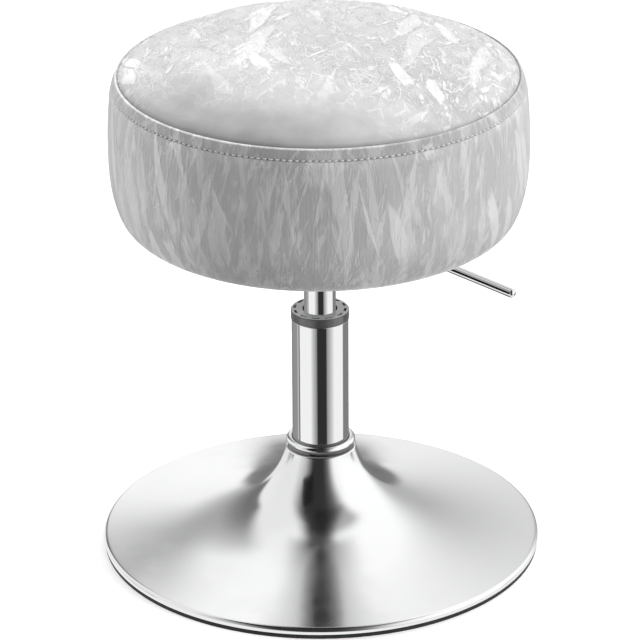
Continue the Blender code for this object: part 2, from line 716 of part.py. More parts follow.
def build_lever(lift_axis):
    """Bracket, pivot, release lever and release pin."""
    chrome = finish("lever_chrome", (0.80, 0.80, 0.82), 0.12, 1.0)
    black_paint = finish("bracket_paint", (0.03, 0.03, 0.03), 0.45, 0.0)
    steel = finish("pin_steel", (0.60, 0.60, 0.62), 0.25, 1.0)

    pivot_place = (*around(LEVER_PIVOT, -LEVER_AZIMUTH), LEVER_HEIGHT)
    bracket_frame = joint_frame("bracket_frame", pivot_place, -LEVER_AZIMUTH, lift_axis)
    bracket_top = SOCKET_TOP - LEVER_HEIGHT
    channel = LEVER_RADIUS + EAR_PLAY
    width = 2 * (channel + EAR_WALL)
    bracket = block(
        "lever_bracket", (EAR_LENGTH, width, bracket_top + EAR_BELOW),
        (0.0, 0.0, (bracket_top - EAR_BELOW) / 2), black_paint, bracket_frame,
    )
    channel_top = bracket_top - BRACKET_WEB
    channel_bottom = -2 * EAR_BELOW
    channel_cut = block(
        "bracket_channel", (2 * EAR_LENGTH, 2 * channel, channel_top - channel_bottom),
        (0.0, 0.0, (channel_top + channel_bottom) / 2), None, bracket_frame,
    )
    cut(bracket, channel_cut)
    pivot_hole = rod(
        "pivot_hole", PIVOT_RADIUS + FIT, -width, width, BAR_SIDES, None, bracket_frame
    )
    pivot_hole.rotation_euler.x = math.pi / 2
    cut(bracket, pivot_hole)
    pivot_end = width / 2 + PIVOT_HEAD
    pivot = rod(
        "lever_pivot", PIVOT_RADIUS, -pivot_end, pivot_end, BAR_SIDES, steel, bracket_frame
    )
    pivot.rotation_euler.x = math.pi / 2

    lever_axis = joint_frame("lever_axis", pivot_place, -LEVER_AZIMUTH, lift_axis)
    lever = lofted("release_lever", lever_rings(), chrome, lever_axis)
    lever_hole = rod(
        "lever_hole", PIVOT_RADIUS + FIT, -width, width, BAR_SIDES, None, lever_axis
    )
    lever_hole.rotation_euler.x = math.pi / 2
    cut(lever, lever_hole)

    pin_axis = joint_frame("pin_axis", parent=lift_axis)
    rod("release_pin", PIN_RADIUS, PIN_TOP - PIN_LENGTH, PIN_TOP, SMALL_SIDES, steel, pin_axis)


def lever_rings():
    """Rings along the lever: straight over the pin, one easy bend, then down to a rounded end."""
    bend_start = LEVER_BEND_AT - LEVER_BEND_RADIUS * math.tan(LEVER_DROP / 2) - LEVER_PIVOT
    bend_middle = (bend_start, -LEVER_BEND_RADIUS)
    bend = arc(bend_middle, LEVER_BEND_RADIUS, math.pi / 2, math.pi / 2 - LEVER_DROP, ROUND_STEPS)
    length = (LEVER_REACH - LEVER_PIVOT - bend[-1][0]) / math.cos(LEVER_DROP)
    spine = [(-LEVER_PIVOT - LEVER_TAIL, 0.0, 0.0, LEVER_RADIUS)]
    for step, (x, z) in enumerate(bend):
        spine.append((x, z, LEVER_DROP * step / ROUND_STEPS, LEVER_RADIUS))
    for step in range(ROUND_STEPS + 1):
        angle = math.radians(75) * step / ROUND_STEPS
        along = length - LEVER_RADIUS * (1 - math.sin(angle))
        x = bend[-1][0] + along * math.cos(LEVER_DROP)
        z = bend[-1][1] - along * math.sin(LEVER_DROP)
        spine.append((x, z, LEVER_DROP, LEVER_RADIUS * math.cos(angle)))
    rings = []
    for x, z, slope, radius in spine:
        points = []
        for side in range(BAR_SIDES):
            across, up = around(radius, math.tau * side / BAR_SIDES)
            points.append((x + up * math.sin(slope), across, z + up * math.cos(slope)))
        rings.append(points)
    return rings


# Seat


def build_seat_plate(lift_axis):
    """Steel plate, bolts, washers, tee nuts and the board that they hold."""
    black_paint = finish("plate_paint", (0.03, 0.03, 0.03), 0.45, 0.0)
    zinc = finish("zinc_plate", (0.62, 0.62, 0.63), 0.35, 1.0)
    wood = finish("plywood", (0.62, 0.47, 0.30), 0.65, 0.0)
    cloth = finish("dust_cloth", (0.78, 0.78, 0.78), 0.90, 0.0)

    plate = block(
        "seat_plate", (PLATE_SIDE, PLATE_SIDE, PLATE_THICKNESS),
        (0.0, 0.0, (PLATE_BOTTOM + PLATE_TOP) / 2), black_paint, lift_axis, PLATE_CORNER,
    )
    plate.rotation_euler.z = -LEVER_AZIMUTH
    board = turned(
        "seat_board",
        [(0.0, BOARD_TOP), (BOARD_RADIUS, BOARD_TOP), (BOARD_RADIUS, BOARD_BOTTOM), (0.0, BOARD_BOTTOM)],
        WIDE_SIDES, wood, lift_axis,
    )
    dust_radius = SEAT_FLAT_RADIUS - DUST_MARGIN
    dust = turned(
        "dust_cover",
        [(0.0, DUST_TOP), (dust_radius, DUST_TOP), (dust_radius, DUST_BOTTOM), (0.0, DUST_BOTTOM)],
        WIDE_SIDES, cloth, lift_axis,
    )

    washer_top = PLATE_BOTTOM - FIT
    washer_bottom = washer_top - WASHER_THICKNESS
    head_top = washer_bottom - FIT
    head_bottom = head_top - BOLT_HEAD_HEIGHT
    bolt_hole = BOLT_RADIUS + BOLT_PLAY
    tee_top = BOARD_TOP - FIT
    tee_seat = tee_top - TEE_FLANGE_THICKNESS
    tee_bore = BOLT_RADIUS + FIT
    tee_section = [
        (tee_bore, tee_top),
        (TEE_RADIUS + TEE_FLANGE, tee_top),
        (TEE_RADIUS + TEE_FLANGE, tee_seat),
        (TEE_RADIUS, tee_seat),
        (TEE_RADIUS, tee_top - TEE_LENGTH),
        (tee_bore, tee_top - TEE_LENGTH),
    ]
    pocket_section = [
        (0.0, BOARD_TOP + BOARD_THICKNESS),
        (TEE_RADIUS + TEE_FLANGE + FIT, BOARD_TOP + BOARD_THICKNESS),
        (TEE_RADIUS + TEE_FLANGE + FIT, tee_seat - FIT),
        (TEE_RADIUS + FIT, tee_seat - FIT),
        (TEE_RADIUS + FIT, BOARD_BOTTOM - BOARD_THICKNESS),
        (0.0, BOARD_BOTTOM - BOARD_THICKNESS),
    ]
    corner = math.hypot(PLATE_SIDE / 2 - BOLT_EDGE, PLATE_SIDE / 2 - BOLT_EDGE)
    for number in range(4):
        angle = math.pi / 4 + math.pi / 2 * number - LEVER_AZIMUTH
        spot = joint_frame(f"bolt_spot_{number + 1}", (*around(corner, angle), 0.0), 0.0, lift_axis)
        lofted(
            f"seat_bolt_{number + 1}",
            bolt_rings(head_bottom, head_top, BOARD_TOP - BOLT_SHY), zinc, spot,
        )
        ring(
            f"bolt_washer_{number + 1}", bolt_hole, bolt_hole + WASHER_WIDTH,
            washer_bottom, washer_top, SMALL_SIDES, zinc, spot,
        )
        turned(f"tee_nut_{number + 1}", tee_section, SMALL_SIDES, zinc, spot)
        pocket = turned(f"tee_pocket_{number + 1}", pocket_section, SMALL_SIDES, None, spot)
        cut(board, pocket)
        clear_hole = rod(
            f"bolt_hole_{number + 1}", bolt_hole, washer_top, BOARD_BOTTOM, SMALL_SIDES, None, spot
        )
        cut(plate, clear_hole)
        cut(dust, clear_hole)


def bolt_rings(bottom, shoulder, top):
    """Rings of a hexagon bolt: its head, then its shank."""
    head = []
    shank = []
    for side in range(BAR_SIDES):
        angle = math.tau * side / BAR_SIDES
        off_flat = (angle % (math.pi / 3)) - math.pi / 6
        head.append(around(BOLT_HEAD_FLATS / 2 / math.cos(off_flat), angle))
        shank.append(around(BOLT_RADIUS, angle))
    levels = ((head, bottom), (head, shoulder), (shank, shoulder), (shank, top))
    return [[(x, y, height) for x, y in outline] for outline, height in levels]


def build_cushion(lift_axis):
    """Foam, the crowned top of the cover, and its side, which is turned under the board."""
    padding = finish("foam", (0.75, 0.70, 0.50), 0.95, 0.0)
    velvet = finish("silver_velvet", (0.55, 0.55, 0.56), 0.75, 0.0)

    lining = COVER + FIT
    foam_section = [
        (0.0, BOARD_TOP + FIT),
        (BOARD_RADIUS + FIT, BOARD_TOP + FIT),
        (BOARD_RADIUS + FIT, BOARD_BOTTOM),
    ]
    foam_section += seat_side(lining) + seat_crown(lining)
    turned("seat_foam", foam_section, WIDE_SIDES, padding, lift_axis)

    turned("top_panel", seat_crown(COVER)[::-1] + seat_crown(0.0), WIDE_SIDES, velvet, lift_axis)

    hem = SEAT_FLAT_RADIUS - COVER_TURN_UNDER
    band_section = [(hem, SEAT_BOTTOM)] + seat_side(0.0)
    band_section += seat_side(COVER)[::-1] + [(hem, SEAT_BOTTOM + COVER)]
    turned("side_band", band_section, WIDE_SIDES, velvet, lift_axis)


def build_stool():
    """All the pieces, each under the joint that it moves with."""
    clear_scene()
    build_base()
    build_stand()
    rod_axis = joint_frame("rod_axis")
    cage_axis = joint_frame("cage_axis")
    lift_axis = joint_frame("lift_axis", parent=rod_axis)
    build_cage(cage_axis)
    build_rod(rod_axis)
    build_lift_tube(lift_axis)
    build_lever(lift_axis)
    build_seat_plate(lift_axis)
    build_cushion(lift_axis)


build_stool()
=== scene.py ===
import json
import math

import bmesh
import bpy
from mathutils import Matrix, Vector, noise
from mathutils.geometry import interpolate_bezier

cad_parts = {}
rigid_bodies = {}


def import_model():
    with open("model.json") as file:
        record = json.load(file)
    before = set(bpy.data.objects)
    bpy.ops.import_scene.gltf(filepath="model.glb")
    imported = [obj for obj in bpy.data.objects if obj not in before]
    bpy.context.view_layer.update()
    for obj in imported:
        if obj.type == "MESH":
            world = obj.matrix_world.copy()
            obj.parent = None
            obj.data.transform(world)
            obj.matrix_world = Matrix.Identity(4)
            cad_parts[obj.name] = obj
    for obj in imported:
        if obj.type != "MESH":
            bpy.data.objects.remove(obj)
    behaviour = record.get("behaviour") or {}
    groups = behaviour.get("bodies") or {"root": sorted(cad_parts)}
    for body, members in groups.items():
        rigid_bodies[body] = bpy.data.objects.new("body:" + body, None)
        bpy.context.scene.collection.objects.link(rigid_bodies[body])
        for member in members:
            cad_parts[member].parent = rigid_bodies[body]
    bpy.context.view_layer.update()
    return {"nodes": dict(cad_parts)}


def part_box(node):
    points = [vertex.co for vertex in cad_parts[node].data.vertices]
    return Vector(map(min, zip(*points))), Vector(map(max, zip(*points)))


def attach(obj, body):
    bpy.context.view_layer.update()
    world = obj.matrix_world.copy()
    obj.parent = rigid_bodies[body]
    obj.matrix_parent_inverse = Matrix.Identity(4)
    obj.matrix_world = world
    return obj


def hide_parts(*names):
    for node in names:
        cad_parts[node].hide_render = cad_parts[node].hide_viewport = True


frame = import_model()


# Trumpet base. One disc of steel is drawn and spun into a narrow neck and a wide low skirt, and its
# edge is rolled down into a lip. It is chromed and polished outside, dull inside, and carries the stool.


def select_only(piece):
    """Leave one object selected and active."""
    bpy.ops.object.select_all(action="DESELECT")
    piece.select_set(True)
    bpy.context.view_layer.objects.active = piece


def arc(middle, radius, start, end, steps):
    """The points of a round stretch of a section, between two angles in degrees."""
    turns = [math.radians(start + (end - start) * step / steps) for step in range(steps + 1)]
    return [(middle[0] + radius * math.cos(turn), middle[1] + radius * math.sin(turn)) for turn in turns]


def add_shape(name, operator, **settings):
    """A new object made by the operator of a ready shape, with its place and size in its mesh."""
    bpy.ops.object.select_all(action="DESELECT")
    operator(**settings)
    piece = bpy.context.object
    piece.name = piece.data.name = name
    bpy.ops.object.transform_apply(location=True, rotation=True, scale=True)
    return piece


def draw_section(name, line):
    """A new object in edit mode: one point, extruded along a line of (radius, height) points."""
    piece = add_shape(name, bpy.ops.mesh.primitive_plane_add)
    bpy.ops.object.mode_set(mode="EDIT")
    bpy.ops.mesh.select_mode(type="VERT")
    bpy.ops.mesh.select_all(action="SELECT")
    bpy.ops.mesh.merge(type="CENTER")
    bpy.ops.transform.translate(value=(line[0][0], 0.0, line[0][1]))
    for here, there in zip(line, line[1:]):
        step = (there[0] - here[0], 0.0, there[1] - here[1])
        bpy.ops.mesh.extrude_vertices_move(TRANSFORM_OT_translate={"value": step})
    return piece


def apply_modifier(piece, kind, **settings):
    """Add one modifier with its settings and apply it at once."""
    select_only(piece)
    bpy.ops.object.modifier_add(type=kind)
    modifier = piece.modifiers[-1]
    for setting, value in settings.items():
        setattr(modifier, setting, value)
    bpy.ops.object.modifier_apply(modifier=modifier.name)


def face_out(weld=False):
    """In edit mode, turn all faces outwards, after joining the points that meet if asked."""
    bpy.ops.mesh.select_all(action="SELECT")
    if weld:
        bpy.ops.mesh.remove_doubles(threshold=1e-6)
    bpy.ops.mesh.normals_make_consistent(inside=False)


def turn_section(piece, sides):
    """Turn the drawn section right round the column and weld it into one skin."""
    bpy.ops.object.mode_set(mode="OBJECT")
    apply_modifier(piece, "SCREW", steps=sides, render_steps=sides)
    bpy.ops.object.mode_set(mode="EDIT")
    face_out(weld=True)


def soften_edges(width, segments=2, sharp=30.0):
    """Round every edge sharper than an angle in degrees."""
    bpy.ops.mesh.select_mode(type="EDGE")
    bpy.ops.mesh.select_all(action="DESELECT")
    bpy.ops.mesh.edges_select_sharp(sharpness=math.radians(sharp))
    bpy.ops.mesh.bevel(offset=width, segments=segments, affect="EDGES")


def smooth_metal(piece):
    """Leave edit mode with smooth round sides and flat faces that stay flat."""
    bpy.ops.object.mode_set(mode="OBJECT")
    select_only(piece)
    bpy.ops.object.shade_smooth_by_angle(angle=math.radians(40))
    apply_modifier(piece, "WEIGHTED_NORMAL", keep_sharp=True)


def dress(piece, finish, body, slot, *nodes):
    """Give a piece its finish, the body it moves with and the solids it stands for."""
    piece.data.materials.clear()
    piece.data.materials.append(finish)
    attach(piece, body)
    if nodes:
        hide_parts(*nodes)


def new_finish(name):
    """A node material, its tree, its shader and the place on the piece that patterns read."""
    finish = bpy.data.materials.new(name)
    finish.use_nodes = True
    tree = finish.node_tree
    place = tree.nodes.new("ShaderNodeTexCoord").outputs["Object"]
    return finish, tree, tree.nodes["Principled BSDF"], place


def set_inputs(tree, node, inputs):
    """Set a node's inputs, to values or to other nodes' outputs."""
    for key, value in inputs.items():
        if isinstance(value, bpy.types.NodeSocket):
            tree.links.new(value, node.inputs[key])
        else:
            node.inputs[key].default_value = value


def add_node(tree, kind, inputs, output=0, **settings):
    """One node with its settings and inputs; returns one of its outputs."""
    node = tree.nodes.new("ShaderNode" + kind)
    for setting, value in settings.items():
        setattr(node, setting, value)
    set_inputs(tree, node, inputs)
    return node.outputs[output]


def grey(level, tint=0.0):
    """A grey, a little cooler where tint is above zero."""
    return (level * (1.0 - tint), level, level * (1.0 + tint), 1.0)


def spread(tree, value, low, high, start=0.0, end=1.0, **settings):
    """A value spread from one range to another, held at both ends."""
    inputs = {"Value": value, "From Min": low, "From Max": high, "To Min": start, "To Max": end}
    return add_node(tree, "MapRange", inputs, **settings)


def shade(tree, amount, dark, light, **settings):
    """A colour between two, by an amount from 0 to 1."""
    inputs = {0: amount, 6: dark, 7: light}
    return add_node(tree, "Mix", inputs, output=2, data_type="RGBA", **settings)


def clouds(tree, place, scale, detail, output=0, **inputs):
    """Cloudy noise of a scale, with so many layers of finer detail."""
    inputs = {"Vector": place, "Scale": scale, "Detail": detail, **inputs}
    return add_node(tree, "TexNoise", inputs, output)


def bumps(tree, height, strength, distance, **inputs):
    """Bumps that follow a height."""
    inputs = {"Height": height, "Strength": strength, "Distance": distance, **inputs}
    return add_node(tree, "Bump", inputs)


def times(tree, first, second):
    """One value times another."""
    return add_node(tree, "Math", {0: first, 1: second}, operation="MULTIPLY")


def chrome(name, softness, smear, level=0.92):
    """Chrome: how soft its mirror is, how much faint wipe marks vary it, and how light it is."""
    finish, tree, shader, place = new_finish(name)
    wipes = clouds(tree, place, 28.0, 6.0, Roughness=0.6)
    grain = clouds(tree, place, 900.0, 3.0)
    set_inputs(tree, shader, {
        "Base Color": shade(tree, grain, grey(level - 0.02, 0.004), grey(level + 0.02, 0.002)),
        "Roughness": spread(tree, wipes, 0.35, 0.65, softness - smear, softness + smear),
        "Normal": bumps(tree, wipes, 0.02, 0.001),
        "Metallic": 1.0,
    })
    return finish


base_low, base_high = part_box("base_shell")
tube_low, tube_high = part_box("stand_tube")
fit = 0.0003
base_radius = base_high.x
base_wall = 0.0015
neck_radius = 0.0315
neck_round = 0.0015
lip_round = 0.0038
lip_height = 0.0065
lip_curl = 0.0009
flare_out, flare_drop = 0.0105, 0.0440
skirt_start = 0.0485
skirt_slope = math.radians(7.4)
flare_steps = 90
rim_sides = 288

neck_edge = base_high.z - neck_round
skirt_radius = base_radius - lip_round
lip_centre = Vector((skirt_radius, base_low.z + lip_height - lip_round))
skirt_end = lip_centre + Vector((math.sin(skirt_slope), math.cos(skirt_slope))) * lip_round
skirt_run = skirt_end.x - neck_radius - skirt_start
flare = interpolate_bezier(
    Vector((neck_radius, neck_edge)),
    Vector((neck_radius + flare_out, neck_edge - flare_drop)),
    Vector((neck_radius + skirt_start, skirt_end.y + skirt_run * math.tan(skirt_slope))),
    skirt_end,
    flare_steps,
)
base_line = [(tube_high.x + fit, base_high.z)]
base_line += arc((neck_radius - neck_round, neck_edge), neck_round, 90, 0, 6)
base_line += [tuple(point) for point in flare[1:]]
base_line += arc(lip_centre, lip_round, 90 - math.degrees(skirt_slope), 0, 10)[1:]
base_line += arc((base_radius - lip_curl, base_low.z + lip_curl), lip_curl, 0, -60, 5)

base = draw_section("trumpet_base", base_line)
turn_section(base, rim_sides)
bpy.ops.object.mode_set(mode="OBJECT")
apply_modifier(base, "SOLIDIFY", thickness=base_wall, offset=-1.0, use_even_offset=True)
smooth_metal(base)
soft_chrome = chrome("base_chrome", 0.14, 0.03)
dress(base, soft_chrome, "base", "chromed_steel", "base_shell")
base.data.materials.append(chrome("dull_chrome", 0.50, 0.12, 0.50))
facing_down = -0.1
for face in base.data.polygons:
    if face.normal.z < facing_down and math.hypot(face.center.x, face.center.y) < skirt_radius:
        face.material_index = 1


# Sleeve and brace. A thick steel sleeve is welded in the neck, and a round plate ties its lower end
# to the skirt. Both are bare pressed steel and show only from under the base.


def turned_piece(name, line, sides, edge, steps=2):
    """A piece turned from a closed section, with its sharp edges rounded."""
    piece = draw_section(name, line)
    turn_section(piece, sides)
    soften_edges(edge, steps)
    smooth_metal(piece)
    return piece


def turned_ring(name, node, inner, sides, edge):
    """A plain ring that fills its solid's box, with a bore and rounded edges."""
    low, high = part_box(node)
    corners = [(inner, low.z), (high.x, low.z), (high.x, high.z), (inner, high.z)]
    return turned_piece(name, corners + corners[:1], sides, edge)


def bare_steel(name, level, roughness):
    """Rolled steel with mill streaks, faint stains and a dull shine."""
    finish, tree, shader, place = new_finish(name)
    streaks = add_node(tree, "Mapping", {"Vector": place, "Scale": (60.0, 60.0, 900.0)})
    mill = clouds(tree, streaks, 1.0, 4.0)
    stains = clouds(tree, place, 45.0, 5.0)
    marks = spread(tree, times(tree, mill, stains), 0.12, 0.38)
    set_inputs(tree, shader, {
        "Base Color": shade(tree, marks, grey(level * 0.72), grey(level)),
        "Roughness": spread(tree, stains, 0.3, 0.7, roughness - 0.08, roughness + 0.1),
        "Normal": bumps(tree, mill, 0.15, 0.0002),
        "Metallic": 1.0,
    })
    return finish


tube_hole = tube_high.x + fit
sleeve_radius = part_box("base_sleeve")[1].x
steel = bare_steel("bare_steel", 0.50, 0.36)
sleeve = turned_ring("neck_sleeve", "base_sleeve", tube_hole, 96, 0.0006)
dress(sleeve, steel, "base", "bare_steel", "base_sleeve")
brace = turned_ring("brace_disc", "brace_plate", sleeve_radius + fit, 160, 0.0007)
dress(brace, steel, "base", "bare_steel", "brace_plate")


# Rubber foot ring. A moulded black rubber ring is pushed up inside the rolled lip and keeps the steel
# off the floor. Only its narrow outer edge shows under the rim.


def black_rubber(name):
    """Matte black rubber with a fine mould grain and some dust in it."""
    finish, tree, shader, place = new_finish(name)
    grain = clouds(tree, place, 1400.0, 4.0)
    dusty = spread(tree, clouds(tree, place, 60.0, 6.0), 0.45, 0.75)
    set_inputs(tree, shader, {
        "Base Color": shade(tree, dusty, grey(0.012), grey(0.030)),
        "Roughness": spread(tree, grain, 0.3, 0.7, 0.55, 0.75),
        "Normal": bumps(tree, grain, 0.25, 0.0002),
    })
    return finish


ring_low, ring_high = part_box("floor_ring")
ring_inner = 0.180
ring_step = base_low.z - fit
ring_grip = base_radius - base_wall - fit
ring_line = [
    (ring_inner, ring_low.z), (ring_high.x, ring_low.z), (ring_high.x, ring_step),
    (ring_grip, ring_step), (ring_grip, ring_high.z), (ring_inner, ring_high.z), (ring_inner, ring_low.z),
]
foot_ring = turned_piece("rubber_foot_ring", ring_line, rim_sides, 0.0005, 3)
rubber = black_rubber("black_rubber")
dress(foot_ring, rubber, "base", "black_rubber", "floor_ring")


# Trim ring. A turned and chromed bead slips over the column and sits on the neck, where it hides the
# gap between the two.

trim_low, trim_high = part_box("trim_ring")
bead_radius = 0.0036
bead_height = 0.0052
bead_slope = 0.0030
bead_middle = (trim_high.x - bead_radius, trim_low.z + bead_height)
trim_foot = 0.0278
column_sides = 144
trim_line = [(tube_hole, trim_low.z), (trim_foot, trim_low.z)]
trim_line += arc(bead_middle, bead_radius, -70, 112, 20)
trim_line += [(tube_hole, bead_middle[1] + bead_slope), (tube_hole, trim_low.z)]
trim = turned_piece("neck_trim_ring", trim_line, column_sides, 0.0002)
bright_chrome = chrome("column_chrome", 0.045, 0.012)
dress(trim, bright_chrome, "base", "chromed_steel", "trim_ring")


# Column tube. The fixed tube of the gas lift is drawn steel, ground, polished and chromed. Its lower end
# is closed and wedges into the sleeve.

tube_wall = 0.0015
tube_taper = 0.0008
tube_floor = 0.0040
stub_hole = 0.0050
tube_bore = tube_high.x - tube_wall
tube_line = [
    (stub_hole, tube_low.z), (tube_high.x - tube_taper, tube_low.z), (tube_high.x, base_high.z),
    (tube_high.x, tube_high.z), (tube_bore, tube_high.z), (tube_bore, base_high.z),
    (tube_bore - tube_taper, tube_low.z + tube_floor), (stub_hole, tube_low.z + tube_floor),
    (stub_hole, tube_low.z),
]
column = turned_piece("column_tube", tube_line, column_sides, 0.0004, 3)
dress(column, bright_chrome, "base", "chromed_steel", "stand_tube")


# Guide bush. A moulded grey nylon bush lines the top of the column and guides the moving tube. Its cap
# sits on the tube's end, with a ring of twelve narrow slots that keep the walls thin for moulding.


def turn_about_column(piece, degrees):
    """Turn a shape about the column's axis, in its mesh."""
    bpy.ops.object.mode_set(mode="OBJECT")
    piece.data.transform(Matrix.Rotation(math.radians(degrees), 4, "Z"))


def pick_faces(piece, chosen):
    """In edit mode, select only the faces whose middle and normal are the ones wanted."""
    bpy.ops.mesh.select_mode(type="FACE")
    bpy.ops.mesh.select_all(action="DESELECT")
    shape = bmesh.from_edit_mesh(piece.data)
    for face in shape.faces:
        face.select_set(chosen(face.calc_center_median(), face.normal))
    bmesh.update_edit_mesh(piece.data)


def satin_plastic(name, top_height):
    """Moulded grey plastic with a fine satin grain and slight rub marks, and a painted highlight that makes
    the top face paler.
    """
    finish, tree, shader, place = new_finish(name)
    grain = clouds(tree, place, 2600.0, 3.0)
    rubs = clouds(tree, place, 130.0, 5.0)
    tone = shade(tree, spread(tree, rubs, 0.35, 0.7), grey(0.055, 0.01), grey(0.078, 0.01))
    height = add_node(tree, "SeparateXYZ", {"Vector": place}, output=2)
    # Painted highlight: the top face of the cap is painted paler than the side, as if lit from above.
    painted_top_highlight = spread(tree, height, top_height - 0.0006, top_height - 0.0001)
    set_inputs(tree, shader, {
        "Base Color": shade(tree, painted_top_highlight, tone, grey(0.46, 0.01)),
        "Roughness": spread(tree, grain, 0.3, 0.7, 0.16, 0.26),
        "Normal": bumps(tree, grain, 0.2, 0.0001),
        "Specular IOR Level": 0.9,
        "Coat Weight": 0.7,
        "Coat Roughness": 0.15,
    })
    return finish


guide_low, guide_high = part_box("guide_bush")
lift_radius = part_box("pressure_tube")[1].x
cap_chamfer = 0.0009
cap_bottom = tube_high.z + fit
guide_outside = tube_bore - fit
guide_play = 0.0004
recess_play = 0.0014
guide_bore = lift_radius + guide_play
recess_radius = lift_radius + recess_play
recess_depth = 0.0050
slot_count = 12
slot_phase = 20.0
slot_width = 0.0024
slot_depth = 0.0040
slot_inset = 0.0033
slot_ring = guide_high.x - slot_inset
faces_in_slot = 7

slot_inner, slot_outer = slot_ring - slot_width / 2, slot_ring + slot_width / 2
guide_line = [
    (guide_bore, guide_low.z), (guide_outside, guide_low.z), (guide_outside, cap_bottom),
    (guide_high.x, cap_bottom), (guide_high.x, guide_high.z - cap_chamfer),
    (guide_high.x - cap_chamfer, guide_high.z), (slot_outer, guide_high.z), (slot_inner, guide_high.z),
    (recess_radius, guide_high.z), (recess_radius, guide_high.z - recess_depth),
    (guide_bore, guide_high.z - recess_depth), (guide_bore, guide_low.z),
]
guide = draw_section("slotted_guide", guide_line)
turn_section(guide, column_sides)
side_angle = 360.0 / column_sides
slot_half = side_angle * faces_in_slot / 2
turn_about_column(guide, side_angle / 2)
bpy.ops.object.mode_set(mode="EDIT")


def in_slot(middle, normal):
    """True for the cap's top faces that lie in one of the slots."""
    angle = math.degrees(math.atan2(middle.y, middle.x)) - slot_phase
    pitch = 360.0 / slot_count
    off_middle = abs((angle + pitch / 2) % pitch - pitch / 2)
    on_ring = abs(math.hypot(middle.x, middle.y) - slot_ring) < slot_width / 2
    return normal.z > 0.9 and on_ring and off_middle < slot_half and middle.z > guide_high.z - fit


pick_faces(guide, in_slot)
bpy.ops.mesh.extrude_region_move(TRANSFORM_OT_translate={"value": (0.0, 0.0, -slot_depth)})
soften_edges(0.00015, 2)
smooth_metal(guide)
dress(guide, satin_plastic("guide_plastic", guide_high.z), "base", "grey_plastic", "guide_bush")


# Thrust bearing and gas spring. Two races with a brass cage of balls carry the rod's end in the column,
# under a rubber bumper. They and the piston are closed in, and keep their solids with real finishes.


def keep_solid(finish, *nodes):
    """Give the finish to solids that are shown as they are."""
    for node in nodes:
        mesh = frame["nodes"][node].data
        mesh.materials.clear()
        mesh.materials.append(finish)


def cage_brass(name):
    """Pressed brass with a drawn grain."""
    finish, tree, shader, place = new_finish(name)
    grain = clouds(tree, place, 700.0, 4.0)
    set_inputs(tree, shader, {
        "Base Color": shade(tree, grain, (0.42, 0.29, 0.11, 1.0), (0.66, 0.49, 0.22, 1.0)),
        "Roughness": spread(tree, grain, 0.3, 0.7, 0.28, 0.42),
        "Metallic": 1.0,
    })
    return finish


balls = [f"bearing_ball_{number}" for number in range(1, 9)]
polished_steel = bare_steel("polished_steel", 0.62, 0.2)
keep_solid(polished_steel, "lower_race", "upper_race", "piston", "rod_gland", "valve_body", *balls)
keep_solid(cage_brass("cage_brass"), "ball_cage")
keep_solid(rubber, "bumper", "piston_seal")


# Piston rod, washer and clip. The ground rod passes through the column's closed end, and a washer and a
# spring clip in its groove hold it there. Their undersides show under the base.

rod_low, rod_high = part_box("piston_rod")
clip_low, clip_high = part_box("retaining_clip")
rod_radius = rod_high.x
stub_radius = 0.0040
groove_radius = 0.0030
seat_of_piston = stub_radius - 0.0005
piston_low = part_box("piston")[0].z
race_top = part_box("upper_race")[1].z
rod_tip = 0.0008
washer_hole = 0.0043
rod_line = [
    (0.0, rod_low.z), (stub_radius - rod_tip, rod_low.z), (stub_radius, rod_low.z + rod_tip),
    (stub_radius, clip_low.z - fit), (groove_radius, clip_low.z - fit), (groove_radius, clip_high.z + fit),
    (stub_radius, clip_high.z + fit), (stub_radius, race_top + fit), (rod_radius, race_top + fit),
    (rod_radius, piston_low - fit), (seat_of_piston, piston_low - fit), (seat_of_piston, rod_high.z),
    (0.0, rod_high.z),
]
rod = turned_piece("piston_shaft", rod_line, 48, 0.0002)
dress(rod, polished_steel, "swivel", "bare_steel", "piston_rod")

end_washer = turned_ring("rod_end_washer", "clip_washer", washer_hole, 64, 0.0002)
dress(end_washer, steel, "swivel", "bare_steel", "clip_washer")

clip_inner = groove_radius + fit
clip_outer = -clip_low.x
clip_mouth = math.radians(62)
clip_corners = [(clip_inner, clip_low.z), (clip_outer, clip_low.z), (clip_outer, clip_high.z),
                (clip_inner, clip_high.z)]
clip = draw_section("spring_clip", clip_corners + clip_corners[:1])
bpy.ops.mesh.select_all(action="SELECT")
bpy.ops.mesh.remove_doubles(threshold=1e-6)
bpy.ops.mesh.edge_face_add()
bpy.ops.mesh.spin(steps=48, angle=math.tau - clip_mouth, center=(0.0, 0.0, 0.0), axis=(0.0, 0.0, -1.0))
face_out(weld=True)
soften_edges(0.0002, 2, 50.0)
smooth_metal(clip)
turn_about_column(clip, math.degrees(clip_mouth) / 2)
dress(clip, steel, "swivel", "bare_steel", "retaining_clip")


# Lift tube. The gas spring's moving tube is ground and chromed, slides through the guide and wedges into
# the socket under the seat with its slightly tapered top.

lift_low, lift_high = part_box("pressure_tube")
socket_low, socket_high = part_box("taper_socket")
lift_wall = 0.0020
socket_taper = 0.0006
lift_line = [
    (lift_radius - lift_wall, lift_low.z), (lift_radius, lift_low.z), (lift_radius, socket_low.z),
    (lift_radius - socket_taper, lift_high.z), (lift_radius - lift_wall, lift_high.z),
    (lift_radius - lift_wall, lift_low.z),
]
lift = turned_piece("lift_tube", lift_line, 96, 0.0003)
dress(lift, bright_chrome, "seat", "chromed_steel", "pressure_tube")
keep_solid(polished_steel, "release_pin")


# Socket, seat plate and lever bracket. The socket is turned steel with a slot for the lever, welded to a
# square pressed plate, and a folded bracket beside it holds the lever. All are painted satin black.


def cut_away(piece, cutter):
    """Cut one object's shape out of another and throw the cutter away."""
    apply_modifier(piece, "BOOLEAN", object=cutter, operation="DIFFERENCE", solver="EXACT")
    bpy.data.objects.remove(cutter, do_unlink=True)


